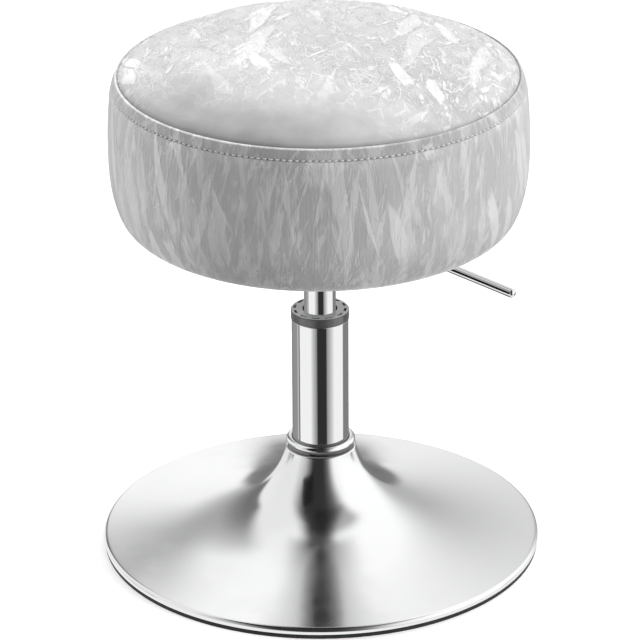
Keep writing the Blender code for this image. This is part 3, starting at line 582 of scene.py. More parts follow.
def add_block(name, size, middle):
    """A box of one size about a middle point."""
    piece = add_shape(name, bpy.ops.mesh.primitive_cube_add, size=1.0)
    piece.data.transform(Matrix.Translation(middle) @ Matrix.Diagonal((*size, 1.0)))
    return piece


def black_paint(name):
    """Sprayed satin black paint with a faint orange peel."""
    finish, tree, shader, place = new_finish(name)
    peel = clouds(tree, place, 650.0, 2.0)
    wear = clouds(tree, place, 70.0, 6.0)
    set_inputs(tree, shader, {
        "Base Color": shade(tree, spread(tree, wear, 0.45, 0.75), grey(0.018), grey(0.036)),
        "Roughness": spread(tree, wear, 0.3, 0.7, 0.34, 0.5),
        "Normal": bumps(tree, peel, 0.12, 0.0003),
    })
    return finish


lever_azimuth = -33.0
lever_slot = 0.0092
slot_floor = 0.2886
plate_low, plate_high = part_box("seat_plate")
plate_side = 0.160
plate_corner = 0.0150
plate_thick = plate_high.z - plate_low.z
plate_middle = (plate_low.z + plate_high.z) / 2
bolt_edge = 0.0190
bolt_ring = (plate_side / 2 - bolt_edge) * math.sqrt(2)
bolt_hole = 0.0036
drill_length = 0.02
ear_length = 0.0160
ear_width = 0.0152
ear_web = 0.0015
bracket_low, bracket_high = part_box("lever_bracket")
pivot_reach = 0.0450
paint = black_paint("black_paint")

socket_bore = lift_radius + fit
socket_line = [
    (socket_bore, socket_low.z), (socket_high.y, socket_low.z), (socket_high.y, socket_high.z),
    (socket_bore - socket_taper, socket_high.z), (socket_bore, socket_low.z),
]
socket = draw_section("lift_socket", socket_line)
turn_section(socket, 96)
soften_edges(0.0006, 3)
bpy.ops.object.mode_set(mode="OBJECT")
slot_height = socket_high.z - slot_floor
slot_reach = 0.04
slot_size = (slot_reach, lever_slot, slot_height * 2)
slot_cutter = add_block("slot_cutter", slot_size, (slot_reach / 2, 0.0, socket_high.z))
turn_about_column(slot_cutter, lever_azimuth)
cut_away(socket, slot_cutter)
smooth_metal(socket)
dress(socket, paint, "seat", "black_paint", "taper_socket")

plate = add_block("square_seat_plate", (plate_side, plate_side, plate_thick), (0.0, 0.0, plate_middle))
bpy.ops.object.mode_set(mode="EDIT")
bpy.ops.mesh.select_mode(type="EDGE")
bpy.ops.mesh.select_all(action="DESELECT")
plate_shape = bmesh.from_edit_mesh(plate.data)
for edge in plate_shape.edges:
    edge.select_set(abs(edge.verts[0].co.z - edge.verts[1].co.z) > fit)
bmesh.update_edit_mesh(plate.data)
bpy.ops.mesh.bevel(offset=plate_corner, segments=12, affect="EDGES")
soften_edges(0.0005, 2)
bpy.ops.object.mode_set(mode="OBJECT")
for corner in range(4):
    turn = math.radians(45 + 90 * corner)
    hole_place = (bolt_ring * math.cos(turn), bolt_ring * math.sin(turn), plate_middle)
    bpy.ops.mesh.primitive_cylinder_add(vertices=48, radius=bolt_hole, depth=drill_length,
                                        location=hole_place)
    cut_away(plate, bpy.context.object)
turn_about_column(plate, lever_azimuth)
smooth_metal(plate)
dress(plate, paint, "seat", "black_paint", "seat_plate")

bracket_height = bracket_high.z - bracket_low.z
bracket_middle = (bracket_low.z + bracket_high.z) / 2
bracket_size = (ear_length, ear_width, bracket_height)
bracket = add_block("lever_ears", bracket_size, (pivot_reach, 0.0, bracket_middle))
channel_size = (ear_length * 2, lever_slot, bracket_height)
channel_middle = (pivot_reach, 0.0, bracket_middle - ear_web)
cut_away(bracket, add_block("channel_cutter", channel_size, channel_middle))
turn_about_column(bracket, lever_azimuth)
select_only(bracket)
bpy.ops.object.mode_set(mode="EDIT")
soften_edges(0.0005, 2)
smooth_metal(bracket)
dress(bracket, paint, "seat", "black_paint", "lever_bracket")
keep_solid(polished_steel, "lever_pivot")


# Release lever. A chromed steel rod turns on a pin in its bracket: its inner end presses the valve's pin
# down when its outer end, bent a little down past the seat's edge, is pulled up.

lever_radius = 0.0040
lever_height = 0.2969
lever_tail = -0.0080
bend_at = 0.1050
bend_radius = 0.0300
lever_drop = math.radians(8.5)
lever_reach = 0.1970
lever_end_round = lever_radius * 0.8

lever = add_shape(
    "release_rod", bpy.ops.mesh.primitive_circle_add, vertices=40, radius=lever_radius, fill_type="NGON",
    location=(lever_tail, 0.0, lever_height), rotation=(0.0, math.radians(90), 0.0),
)
bpy.ops.object.mode_set(mode="EDIT")
bpy.ops.mesh.select_all(action="SELECT")
bpy.ops.mesh.extrude_region_move(TRANSFORM_OT_translate={"value": (bend_at - lever_tail, 0.0, 0.0)})
bend_middle = (bend_at, 0.0, lever_height - bend_radius)
bpy.ops.mesh.spin(steps=10, angle=lever_drop, center=bend_middle, axis=(0.0, -1.0, 0.0))
straight = lever_reach - bend_at - bend_radius * math.sin(lever_drop)
bpy.ops.mesh.extrude_region_move(
    TRANSFORM_OT_translate={"value": (straight, 0.0, -straight * math.tan(lever_drop))})
face_out(weld=True)
soften_edges(lever_end_round, 8, 60.0)
turn_about_column(lever, lever_azimuth)
smooth_metal(lever)
dress(lever, bright_chrome, "lever", "chromed_steel", "release_lever")


# Bolts and washers. Four zinc-plated hexagon bolts with plain washers go up through the plate into tee
# nuts, which were driven into the board from above.


def zinc_plate(name):
    """Dull zinc plating with its faint mottling."""
    finish, tree, shader, place = new_finish(name)
    mottle = add_node(tree, "TexVoronoi", {"Vector": place, "Scale": 420.0})
    stain = clouds(tree, place, 160.0, 4.0)
    set_inputs(tree, shader, {
        "Base Color": shade(tree, mottle, grey(0.50, 0.02), grey(0.68, 0.01)),
        "Roughness": spread(tree, stain, 0.3, 0.7, 0.28, 0.44),
        "Metallic": 1.0,
    })
    return finish


def copy_round(piece, name, turn):
    """A copy with its own mesh, turned about the column."""
    twin = piece.copy()
    twin.data = piece.data.copy()
    twin.name = twin.data.name = name
    bpy.context.collection.objects.link(twin)
    turn_about_column(twin, turn)
    return twin


bolt_low, bolt_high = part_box("seat_bolt_1")
washer_low, washer_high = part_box("bolt_washer_1")
bolt_middle = (bolt_low + bolt_high) / 2
bolt_radius = 0.0030
head_flats = 0.0100
head_height = 0.0040
head_chamfer = 0.0005
head_corner = head_flats / math.sqrt(3)
zinc = zinc_plate("zinc_plate")

bolt = add_shape("hex_bolt_1", bpy.ops.mesh.primitive_circle_add, vertices=6, radius=head_corner,
                 fill_type="NGON", location=(bolt_middle.x, bolt_middle.y, bolt_low.z))
bpy.ops.object.mode_set(mode="EDIT")
bpy.ops.mesh.select_all(action="SELECT")
bpy.ops.mesh.extrude_region_move(TRANSFORM_OT_translate={"value": (0.0, 0.0, head_height)})
face_out()
pick_faces(bolt, lambda middle, normal: normal.z < -0.9)
bpy.ops.mesh.bevel(offset=head_chamfer, segments=3, affect="EDGES")
bpy.ops.object.mode_set(mode="OBJECT")
shank_length = bolt_high.z - bolt_low.z - head_height
shank_place = (bolt_middle.x, bolt_middle.y, bolt_high.z - shank_length / 2)
shank = add_shape("bolt_shank", bpy.ops.mesh.primitive_cylinder_add, vertices=32, radius=bolt_radius,
                  depth=shank_length, location=shank_place)
apply_modifier(bolt, "BOOLEAN", object=shank, operation="UNION", solver="EXACT")
bpy.data.objects.remove(shank, do_unlink=True)
smooth_metal(bolt)

washer_middle = (washer_low + washer_high) / 2
washer_radius = (washer_high.y - washer_low.y) / 2
washer_corners = [(bolt_hole, washer_low.z), (washer_radius, washer_low.z),
                  (washer_radius, washer_high.z), (bolt_hole, washer_high.z)]
washer = draw_section("plain_washer_1", washer_corners + washer_corners[:1])
turn_section(washer, 64)
soften_edges(0.0003, 2)
bpy.ops.mesh.select_all(action="SELECT")
bpy.ops.transform.translate(value=(washer_middle.x, washer_middle.y, 0.0))
smooth_metal(washer)

for number in range(1, 5):
    turn = 90.0 * (number - 1)
    one_bolt = bolt if number == 1 else copy_round(bolt, f"hex_bolt_{number}", turn)
    one_washer = washer if number == 1 else copy_round(washer, f"plain_washer_{number}", turn)
    dress(one_bolt, zinc, "seat", "zinc_plate", f"seat_bolt_{number}")
    dress(one_washer, zinc, "seat", "zinc_plate", f"bolt_washer_{number}")
keep_solid(zinc, *[f"tee_nut_{number}" for number in range(1, 5)])


# Seat board. A sawn disc of birch plywood that the plate is bolted to. The padding above and the dust cover
# below close it in, so it keeps its solid with a real finish.


def plywood(name, ply):
    """Birch plywood: long grain on the faces and a thin dark glue line at the edge for each ply."""
    finish, tree, shader, place = new_finish(name)
    along = add_node(tree, "Mapping", {"Vector": place, "Scale": (8.0, 160.0, 40.0)})
    grain = clouds(tree, along, 1.0, 6.0, Distortion=0.6)
    wood = shade(tree, grain, (0.50, 0.34, 0.19, 1.0), (0.72, 0.55, 0.36, 1.0))
    height = add_node(tree, "SeparateXYZ", {"Vector": place}, output=2)
    lines = add_node(tree, "Math", {0: times(tree, height, math.tau / ply)}, operation="SINE")
    glue = spread(tree, lines, 0.8, 1.0, 0.0, 0.5)
    set_inputs(tree, shader, {
        "Base Color": shade(tree, glue, wood, (0.20, 0.12, 0.06, 1.0)),
        "Roughness": spread(tree, grain, 0.3, 0.7, 0.6, 0.75),
    })
    return finish


keep_solid(plywood("birch_plywood", 0.003), "seat_board")


# Dust cover. A disc of pale non-woven cloth, stretched over the board's underside and held by the plate
# and a ring of staples, so that it dips a little between them.


def non_woven(name):
    """Pale non-woven cloth: a mat of fine fibres with a pattern of small pressed dots."""
    finish, tree, shader, place = new_finish(name)
    fibres = clouds(tree, place, 900.0, 6.0, Distortion=1.5)
    dots = add_node(tree, "TexVoronoi", {"Vector": place, "Scale": 520.0, "Randomness": 0.12})
    mat = spread(tree, times(tree, fibres, clouds(tree, place, 60.0, 4.0)), 0.1, 0.4)
    set_inputs(tree, shader, {
        "Base Color": shade(tree, mat, grey(0.78), grey(0.88)),
        "Roughness": spread(tree, fibres, 0.3, 0.7, 0.8, 0.95),
        "Normal": bumps(tree, dots, 0.35, 0.0003),
    })
    return finish


def grid_disc(name, radius, columns, reaches, height):
    """A flat disc: a grid in its middle, and rings around it that end at shares of its radius."""
    piece = add_shape(name, bpy.ops.mesh.primitive_circle_add, vertices=columns, radius=radius * reaches[0],
                      location=(0.0, 0.0, height))
    bpy.ops.object.mode_set(mode="EDIT")
    bpy.ops.mesh.select_all(action="SELECT")
    bpy.ops.mesh.fill_grid(span=columns // 4)
    bpy.ops.mesh.select_mode(type="EDGE")
    bpy.ops.mesh.select_all(action="DESELECT")
    bpy.ops.mesh.select_non_manifold(extend=False)
    for here, there in zip(reaches, reaches[1:]):
        grow = (there / here, there / here, 1.0)
        bpy.ops.mesh.extrude_edges_move()
        bpy.ops.transform.resize(value=grow, center_override=(0.0, 0.0, height))
    face_out()
    bpy.ops.object.mode_set(mode="OBJECT")
    return piece


dust_low, dust_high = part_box("dust_cover")
dust_radius = dust_high.x
dust_thick = 0.0006
dust_dip = 0.0004
dip_reach = 0.02
staple_count = 20
staple_inset = 0.0050
staple_ring = dust_radius - staple_inset
dust_columns = 240
dust_rings = 24
dust_reaches = [0.5 + 0.5 * step / dust_rings for step in range(dust_rings + 1)]

dust = grid_disc("dust_cloth", dust_radius, dust_columns, dust_reaches, dust_high.z)
for vertex in dust.data.vertices:
    reach = math.hypot(vertex.co.x, vertex.co.y)
    angle = math.atan2(vertex.co.y, vertex.co.x)
    near_edge = max(0.0, 1.0 - abs(reach - staple_ring) / dip_reach)
    vertex.co.z -= dust_dip * near_edge * (0.5 - 0.5 * math.cos(angle * staple_count))
apply_modifier(dust, "SOLIDIFY", thickness=dust_thick, offset=-1.0)
bpy.ops.object.mode_set(mode="EDIT")
face_out()
bpy.ops.object.mode_set(mode="OBJECT")
bpy.ops.object.shade_smooth_by_angle(angle=math.radians(40))
dress(dust, non_woven("dust_cloth"), "seat", "dust_cloth", "dust_cover")

staple_length = 0.0100
staple_wire = 0.0007
staple_drop = 0.0004
staple = add_block("hem_staples", (staple_wire, staple_length, staple_wire),
                   (staple_ring, 0.0, dust_low.z - staple_drop + dust_thick))
bpy.ops.object.mode_set(mode="EDIT")
soften_edges(staple_wire * 0.3, 2)
bpy.ops.mesh.select_all(action="SELECT")
bpy.ops.mesh.spin(steps=staple_count - 1, dupli=True, angle=math.tau * (staple_count - 1) / staple_count,
                  center=(0.0, 0.0, 0.0), axis=(0.0, 0.0, 1.0))
smooth_metal(staple)
dress(staple, zinc, "seat", "zinc_plate")


# Padding. A round block of upholstery foam glued on the board, crowned on top and full at the sides, which
# the tight cover rounds off. It is swelled as cloth so that it lies a little unevenly, as foam does.


def upholstery_foam(name):
    """Cream foam with open cells."""
    finish, tree, shader, place = new_finish(name)
    cells = add_node(tree, "TexVoronoi", {"Vector": place, "Scale": 900.0})
    cloud = clouds(tree, place, 40.0, 4.0)
    set_inputs(tree, shader, {
        "Base Color": shade(tree, cloud, (0.66, 0.58, 0.36, 1.0), (0.78, 0.70, 0.48, 1.0)),
        "Roughness": spread(tree, cells, 0.0, 0.6, 0.85, 1.0),
        "Normal": bumps(tree, cells, 0.5, 0.0006),
    })
    return finish


band_low, band_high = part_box("side_band")
top_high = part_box("top_panel")[1]
board_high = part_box("seat_board")[1]
cover = 0.0015
lining = cover + fit
seat_radius = band_high.x
seam_inset = 0.0085
seam_radius = seat_radius - seam_inset
seam_height = band_high.z
belly_rise = 0.0680
belly_height = band_low.z + belly_rise
edge_width = 0.0310
edge_fullness = 2.65
side_fullness = 3.6
crown_fullness = 3.2
crown_base = seam_height + fit
seam_dip = 0.0022
dip_width = 0.0110
crown = top_high.z - crown_base


def edge_line(depth, steps):
    """The rounded lower edge of the seat, a depth inside the cover, from the flat underside to the belly."""
    points = []
    for step in range(1, steps + 1):
        turn = math.pi / 2 * step / steps
        out = math.sin(turn) ** (2 / edge_fullness)
        drop = math.cos(turn) ** (2 / edge_fullness)
        points.append((seat_radius - edge_width + (edge_width - depth) * out,
                       belly_height - (belly_height - band_low.z - depth) * drop))
    return points


def side_radius(height, depth):
    """The seat's radius between the belly and the seam, a depth inside the cover."""
    up = max(0.0, (height - belly_height) / (seam_height - belly_height))
    return seat_radius - depth - seam_inset * up ** side_fullness


def crown_height(reach, depth):
    """The height of the crowned top at a distance from the middle, a depth inside the cover."""
    across = min(1.0, reach / (seam_radius - depth))
    into_seam = max(0.0, 1.0 - (seam_radius - depth - reach) / dip_width)
    return crown_base + (crown - depth) * (1.0 - across ** crown_fullness) - seam_dip * into_seam ** 2


def side_line(depth, top, steps):
    """The side from the belly up to a height, in steps that close up towards the seam."""
    rises = [1.0 - (1.0 - step / steps) ** 1.5 for step in range(1, steps + 1)]
    heights = [belly_height + (top - belly_height) * rise for rise in rises]
    return [(side_radius(height, depth), height) for height in heights]


swell = 0.0022
swell_cap = 0.0034
cloth_share = 0.4
foam_lumps = 0.0005
lump_size = 0.045
cloth_frames = 20
padding_shoulder = 0.006
scene = bpy.context.scene
padding_depth = lining + swell
crown_steps = 24
padding_line = [(0.0, band_low.z + padding_depth), (seat_radius - edge_width, band_low.z + padding_depth)]
padding_line += edge_line(padding_depth, 16) + side_line(padding_depth, seam_height - padding_shoulder, 16)
for step in range(1, crown_steps + 1):
    reach = (seam_radius - padding_depth) * (1.0 - step / crown_steps)
    padding_line.append((reach, crown_height(reach, padding_depth)))
padding = draw_section("seat_padding", padding_line)
turn_section(padding, 120)
bpy.ops.object.mode_set(mode="OBJECT")
padding.data.remesh_voxel_size = 0.0055
bpy.ops.object.voxel_remesh()
starts = [vertex.co.copy() for vertex in padding.data.vertices]
swelled = [vertex.co + vertex.normal * swell for vertex in padding.data.vertices]
glued = padding.vertex_groups.new(name="glued")
on_board = [vertex.index for vertex in padding.data.vertices if vertex.co.z < board_high.z]
glued.add(on_board, 1.0, "REPLACE")
bpy.ops.object.modifier_add(type="CLOTH")
cloth = padding.modifiers[-1]
cloth.settings.use_pressure = True
cloth.settings.uniform_pressure_force = 4.0
cloth.settings.effector_weights.gravity = 0.0
cloth.settings.vertex_group_mass = glued.name
for step in range(1, cloth_frames + 1):
    scene.frame_set(step)
bpy.ops.object.modifier_apply(modifier=cloth.name)
scene.frame_set(1)
swelled = [even.lerp(vertex.co, cloth_share) for even, vertex in zip(swelled, padding.data.vertices)]
seat_middle = Vector((0.0, 0.0, belly_height))
for vertex, start, end in zip(padding.data.vertices, starts, swelled):
    move = end - start
    if move.length > swell_cap:
        move.length = swell_cap
    uneven = foam_lumps * noise.noise(start / lump_size)
    vertex.co = start + move + (start - seat_middle).normalized() * uneven
apply_modifier(padding, "SUBSURF", levels=1, render_levels=1)
board_recess = board_high.z + fit - band_low.z
board_cutter = add_shape("board_cutter", bpy.ops.mesh.primitive_cylinder_add, vertices=160,
                         radius=board_high.x + fit, depth=board_recess * 2, location=(0.0, 0.0, band_low.z))
cut_away(padding, board_cutter)
select_only(padding)
bpy.ops.object.shade_smooth_by_angle(angle=math.radians(50))
dress(padding, upholstery_foam("seat_foam"), "seat", "foam", "seat_foam")


# Side band. A long strip of silver crushed velvet is sewn to the top panel, folded down over its seam
# allowance and topstitched, pulled down over the foam and stapled under the board.


def grey_ramp(tree, value, stops):
    """A ramp of greys along a value, from stops of (value, level)."""
    low, high = stops[0][0], stops[-1][0]
    node = tree.nodes.new("ShaderNodeValToRGB")
    elements = node.color_ramp.elements
    while len(elements) < len(stops):
        elements.new(0.5)
    for element, (where, level) in zip(elements, stops):
        element.position = (where - low) / (high - low)
        element.color = grey(level)
    tree.links.new(spread(tree, value, low, high), node.inputs["Fac"])
    return node.outputs["Color"]


def wander(tree, place, scale, amount):
    """A place moved about by noise, so that straight patterns sway and fray."""
    drift = clouds(tree, place, scale, 5.0, output=1, Roughness=0.6)
    drift = add_node(tree, "VectorMath", {0: drift, 1: (0.5, 0.5, 0.5)}, operation="SUBTRACT")
    drift = add_node(tree, "VectorMath", {0: drift, "Scale": amount}, operation="SCALE")
    return add_node(tree, "VectorMath", {0: place, 1: drift}, operation="ADD")


def patches(tree, place, scale, share):
    """Cloudy patches that cover about a share of the cloth, from 0 to 1."""
    start = 0.5 + (0.5 - share) * 0.3
    return spread(tree, clouds(tree, place, scale, 3.0), start - 0.03, start + 0.06)


def lay_of_pile(tree, place, turn, twist, stretch):
    """A place turned about the column, by a further twist for each metre of height, and drawn out."""
    height = add_node(tree, "SeparateXYZ", {"Vector": place}, output=2)
    angle = add_node(tree, "Math", {0: height, 1: twist, 2: turn}, operation="MULTIPLY_ADD")
    turned = add_node(tree, "VectorRotate", {"Vector": place, "Angle": angle}, rotation_type="Z_AXIS")
    return add_node(tree, "Mapping", {"Vector": turned, "Scale": stretch})


def pressed_flakes(tree, place, turn, twist, stretch, scale, share, rim):
    """Sharp flakes of flattened pile over a share of the cloth, from 0 to 1, with soft or hard rims."""
    drawn = lay_of_pile(tree, place, turn, twist, stretch)
    bent = wander(tree, drawn, scale * 0.6, 0.9 / scale)
    frayed = wander(tree, bent, scale * 4.0, 0.36 / scale)
    cells = add_node(tree, "TexVoronoi", {"Vector": frayed, "Scale": scale}, output=1)
    pick = add_node(tree, "SeparateColor", {"Color": cells}, output=0)
    edges = add_node(tree, "TexVoronoi", {"Vector": frayed, "Scale": scale}, feature="DISTANCE_TO_EDGE")
    laid = spread(tree, pick, 1.0 - share, 1.0 - share * 0.4)
    ends = spread(tree, edges, 0.0, rim, interpolation_type="SMOOTHSTEP")
    return times(tree, laid, ends)


def brushed_patches(tree, place, turn, twist, stretch, scale, low, high):
    """Frayed patches where the pile was brushed over, from 0 to 1 between two levels of a noise."""
    drawn = lay_of_pile(tree, place, turn, twist, stretch)
    return spread(tree, clouds(tree, drawn, scale, 6.0, Roughness=0.62, Distortion=0.4), low, high)


def winding_folds(tree, place, stretch, scale, width, share):
    """Fine winding lines where the cloth was creased, from 0 to 1, in patches."""
    drawn = add_node(tree, "Mapping", {"Vector": place, "Scale": stretch})
    field = clouds(tree, drawn, scale, 4.0, Roughness=0.62, Distortion=0.8)
    off_line = add_node(tree, "Math", {0: field, 1: 0.5}, operation="SUBTRACT")
    off_line = add_node(tree, "Math", {0: off_line}, operation="ABSOLUTE")
    lines = spread(tree, off_line, width, 0.0)
    return times(tree, lines, patches(tree, place, scale * 0.8, share))


def crumpled_folds(tree, place, stretch, scale, width, share):
    """A broken net of sharp folds, as in crumpled paper, from 0 to 1, in patches."""
    drawn = add_node(tree, "Mapping", {"Vector": place, "Scale": stretch})
    bent = wander(tree, drawn, scale * 0.7, 0.8 / scale)
    edges = add_node(tree, "TexVoronoi", {"Vector": bent, "Scale": scale}, feature="DISTANCE_TO_EDGE")
    lines = spread(tree, edges, width, width * 0.3)
    return times(tree, lines, patches(tree, place, scale * 0.9, share))


def crushed_velvet(name, ground, streaks, marks, depth, painted_shading, marked=None):
    """Silver velvet: the grey of its upright pile, its fine streaks, and the marks crushed to a depth in it.

    Two functions of the tree and the place give the light and shade painted on it, and where it is marked.
    """
    finish, tree, shader, place = new_finish(name)
    broad = clouds(tree, place, 24.0, 3.0)
    combed = add_node(tree, "Mapping", {"Vector": place, "Scale": streaks})
    fine = clouds(tree, combed, 1.0, 4.0)
    lay = add_node(tree, "Math", {0: broad, 1: fine}, operation="ADD")
    tone = shade(tree, spread(tree, lay, 0.7, 1.3), grey(ground * 0.90), grey(ground * 1.10))
    heights = fine
    where_marked = marked(tree, place) if marked else 1.0
    for pattern, settings, level, strength in marks:
        held = times(tree, times(tree, pattern(tree, place, *settings), strength), where_marked)
        tone = shade(tree, held, tone, grey(level, 0.004))
        heights = add_node(tree, "Math", {0: heights, 1: held}, operation="ADD")
    # Painted light and shade, such as at the seam, scales the colour.
    tone = add_node(tree, "VectorMath", {0: tone, "Scale": painted_shading(tree, place)}, operation="SCALE")
    pile = clouds(tree, place, 2200.0, 2.0)
    set_inputs(tree, shader, {
        "Base Color": tone,
        "Roughness": spread(tree, heights, 0.3, 1.5, 0.65, 0.45),
        "Normal": bumps(tree, pile, 0.2, 0.0003, Normal=bumps(tree, heights, 0.5, depth)),
        "Specular IOR Level": 0.35,
        "Sheen Weight": 0.9,
        "Sheen Roughness": 0.45,
    })
    return finish


def lay_on_padding(piece, share_at):
    """Draw a cover down on the padding: wholly where a function of the place gives 1, not at all at 0."""
    on_padding = piece.vertex_groups.new(name="on_padding")
    for vertex in piece.data.vertices:
        share = max(0.0, min(1.0, share_at(vertex.co)))
        on_padding.add([vertex.index], share * share * (3.0 - 2.0 * share), "REPLACE")
    apply_modifier(piece, "SHRINKWRAP", target=padding, wrap_mode="ABOVE_SURFACE", offset=lining,
                   vertex_group=on_padding.name)
    piece.vertex_groups.clear()


stitch_count = 208
columns_per_stitch = 3
lip_round_over = 0.0010
strip_height = 0.0086
strip_proud = 0.0004
groove = 0.0009
pucker = 0.0004
pucker_below = 0.0060
pucker_scale = 17.0
needle_pull = 0.0003
needle_reach = 0.0018
pleat_height = 0.0140
pleat_scale = 34.0
pleat_change = 40.0
hem_pleat = 0.0007
hem_width = 0.0220
hem_steps = 5
free_at_seam = 0.030
free_at_hem = 0.020
rows_below_stitch = (0.0080, 0.0062, 0.0046, 0.0032, 0.0020, 0.0011)
rows_above_stitch = (0.0009, 0.0020, 0.0036, 0.0054, 0.0070)
cover_thick = cover * 0.8

stitch_height = seam_height - strip_height
lip_middle = (seam_radius - lip_round_over + strip_proud, seam_height - 0.0003)
hem_outer = seat_radius - edge_width
band_line = [(hem_outer - hem_width * (1.0 - step / hem_steps), band_low.z) for step in range(hem_steps + 1)]
band_line += edge_line(0.0, 18) + side_line(0.0, stitch_height - 0.010, 14)
for below in rows_below_stitch:
    height = stitch_height - below
    band_line.append((side_radius(height, 0.0), height))
band_line.append((side_radius(stitch_height, groove), stitch_height))
for above in rows_above_stitch:
    height = stitch_height + above
    band_line.append((side_radius(height, 0.0) + strip_proud, height))
band_line += arc(lip_middle, lip_round_over, 10, 180, 8)
band_line.append((lip_middle[0] - lip_round_over, seam_height - 0.0030))

band = draw_section("velvet_side_band", band_line)
turn_section(band, stitch_count * columns_per_stitch)
bpy.ops.object.mode_set(mode="OBJECT")
lay_on_padding(band, lambda point: min((stitch_height - point.z) / free_at_seam,
                                       (point.z - band_low.z) / free_at_hem))
for vertex in band.data.vertices:
    outwards = Vector((vertex.co.x, vertex.co.y, 0.0)).normalized()
    angle = math.atan2(vertex.co.y, vertex.co.x)
    below = stitch_height - vertex.co.z
    needle = math.cos(angle * stitch_count)
    at_stitch = max(0.0, 1.0 - abs(below) / needle_reach)
    under = max(0.0, 1.0 - abs(below - pucker_below) / pucker_below)
    around = Vector((math.cos(angle), math.sin(angle), 0.0))
    gather = noise.noise(around * pucker_scale + Vector((0.0, 0.0, 3.0)))
    pulled = max(0.0, 1.0 - abs(vertex.co.z - band_low.z - pleat_height) / pleat_height)
    pleat = noise.noise(around * pleat_scale + Vector((0.0, 0.0, vertex.co.z * pleat_change)))
    push = under * pucker * (1.0 + gather) - needle_pull * at_stitch * needle + hem_pleat * pulled * pleat
    vertex.co += outwards * push
apply_modifier(band, "SOLIDIFY", thickness=cover_thick, offset=-1.0)
bpy.ops.object.shade_smooth_by_angle(angle=math.radians(60))
# Painted shade and light by height on the band: dark in the groove of the stitches, lighter on the bulge
# just below them, a little darker across the strip above.
seam_painted_shades = (
    (stitch_height - 0.0100, 1.0), (stitch_height - 0.0060, 1.06), (stitch_height - 0.0014, 1.10),
    (stitch_height - 0.0006, 0.55), (stitch_height + 0.0006, 0.55), (stitch_height + 0.0014, 0.90),
    (seam_height - 0.0010, 0.90), (seam_height - 0.0001, 0.90), (seam_height + 0.0010, 0.90),
)
# How much the lip is lightened, as a painted highlight, stronger on the left and front than on the right.
lip_painted_highlight = 1.1


def band_painted_light(tree, place):
    """Painted light and shade on the band: a painted highlight on the lip, more on the left and front, and
    painted shade along the row of stitches and on the lower edge.
    """
    height = add_node(tree, "SeparateXYZ", {"Vector": place}, output=2)
    side = add_node(tree, "SeparateXYZ", {"Vector": place}, output=0)
    # Painted shade, darker towards the lower edge.
    painted_low_edge_shade = spread(tree, height, band_low.z + 0.004, band_low.z + 0.045, 0.80, 1.0)
    sewn = times(tree, grey_ramp(tree, height, seam_painted_shades), painted_low_edge_shade)
    on_lip = spread(tree, height, seam_height - 0.0008, seam_height)
    lip = times(tree, on_lip, spread(tree, side, 0.10, -0.02, 0.15 * lip_painted_highlight, lip_painted_highlight))
    return add_node(tree, "Math", {0: sewn, 1: lip}, operation="ADD")


# The band's ground grey, 0.40 against the panel's 0.53 for the same velvet, is painted shade on the upright
# sides.
band_velvet = crushed_velvet("side_velvet", 0.40, (520.0, 520.0, 24.0), (
    (brushed_patches, (0.0, 0.5, (1.0, 1.0, 0.20), 62.0, 0.49, 0.57), 0.54, 0.8),
    (brushed_patches, (1.0, -1.2, (1.0, 1.0, 0.18), 120.0, 0.54, 0.60), 0.60, 0.6),
    (winding_folds, ((1.0, 1.0, 0.30), 46.0, 0.010, 0.40), 0.34, 0.5),
    (pressed_flakes, (2.0, 1.6, (1.0, 1.0, 0.20), 80.0, 0.16, 0.16), 0.64, 0.8),
    (winding_folds, ((1.0, 1.0, 0.30), 34.0, 0.010, 0.35), 0.70, 0.6),
), 0.0008, band_painted_light)
dress(band, band_velvet, "seat", "silver_velvet", "side_band")


# Top panel. A disc of the same velvet, sewn to the band all round and drawn tight over the crown, so that
# its edge dips into the seam.

panel_columns = 312
panel_grid = 0.80
panel_rings = 26
panel_gap = 0.0002
panel_edge = lip_middle[0] - lip_round_over - panel_gap

panel_reaches = [1.0 - (1.0 - panel_grid) * (1.0 - step / panel_rings) ** 1.6
                 for step in range(panel_rings + 1)]
panel = grid_disc("velvet_top_panel", panel_edge, panel_columns, panel_reaches, 0.0)
for vertex in panel.data.vertices:
    vertex.co.z = crown_height(math.hypot(vertex.co.x, vertex.co.y), 0.0)
lay_on_padding(panel, lambda point: (panel_edge - math.hypot(point.x, point.y)) / free_at_seam)
apply_modifier(panel, "SOLIDIFY", thickness=cover_thick, offset=-1.0)
bpy.ops.object.shade_smooth_by_angle(angle=math.radians(60))
smooth_way = (0.3, 0.95, 0.0)
smooth_until, marked_from = -0.135, -0.045
# Painted shade on the panel: towards its front left edge along this direction, and where its edge dips into
# the seam.
front_left_shade_way = (0.6, 0.8, 0.0)
seam_dip_painted_shades = ((panel_edge - 0.0120, 1.0), (panel_edge - 0.0040, 0.88), (panel_edge - 0.0016, 0.60),
               (panel_edge, 0.36))
front_left_painted_shades = ((-0.168, 0.70), (-0.124, 1.08), (-0.105, 1.19), (-0.075, 1.19), (-0.01, 1.0))


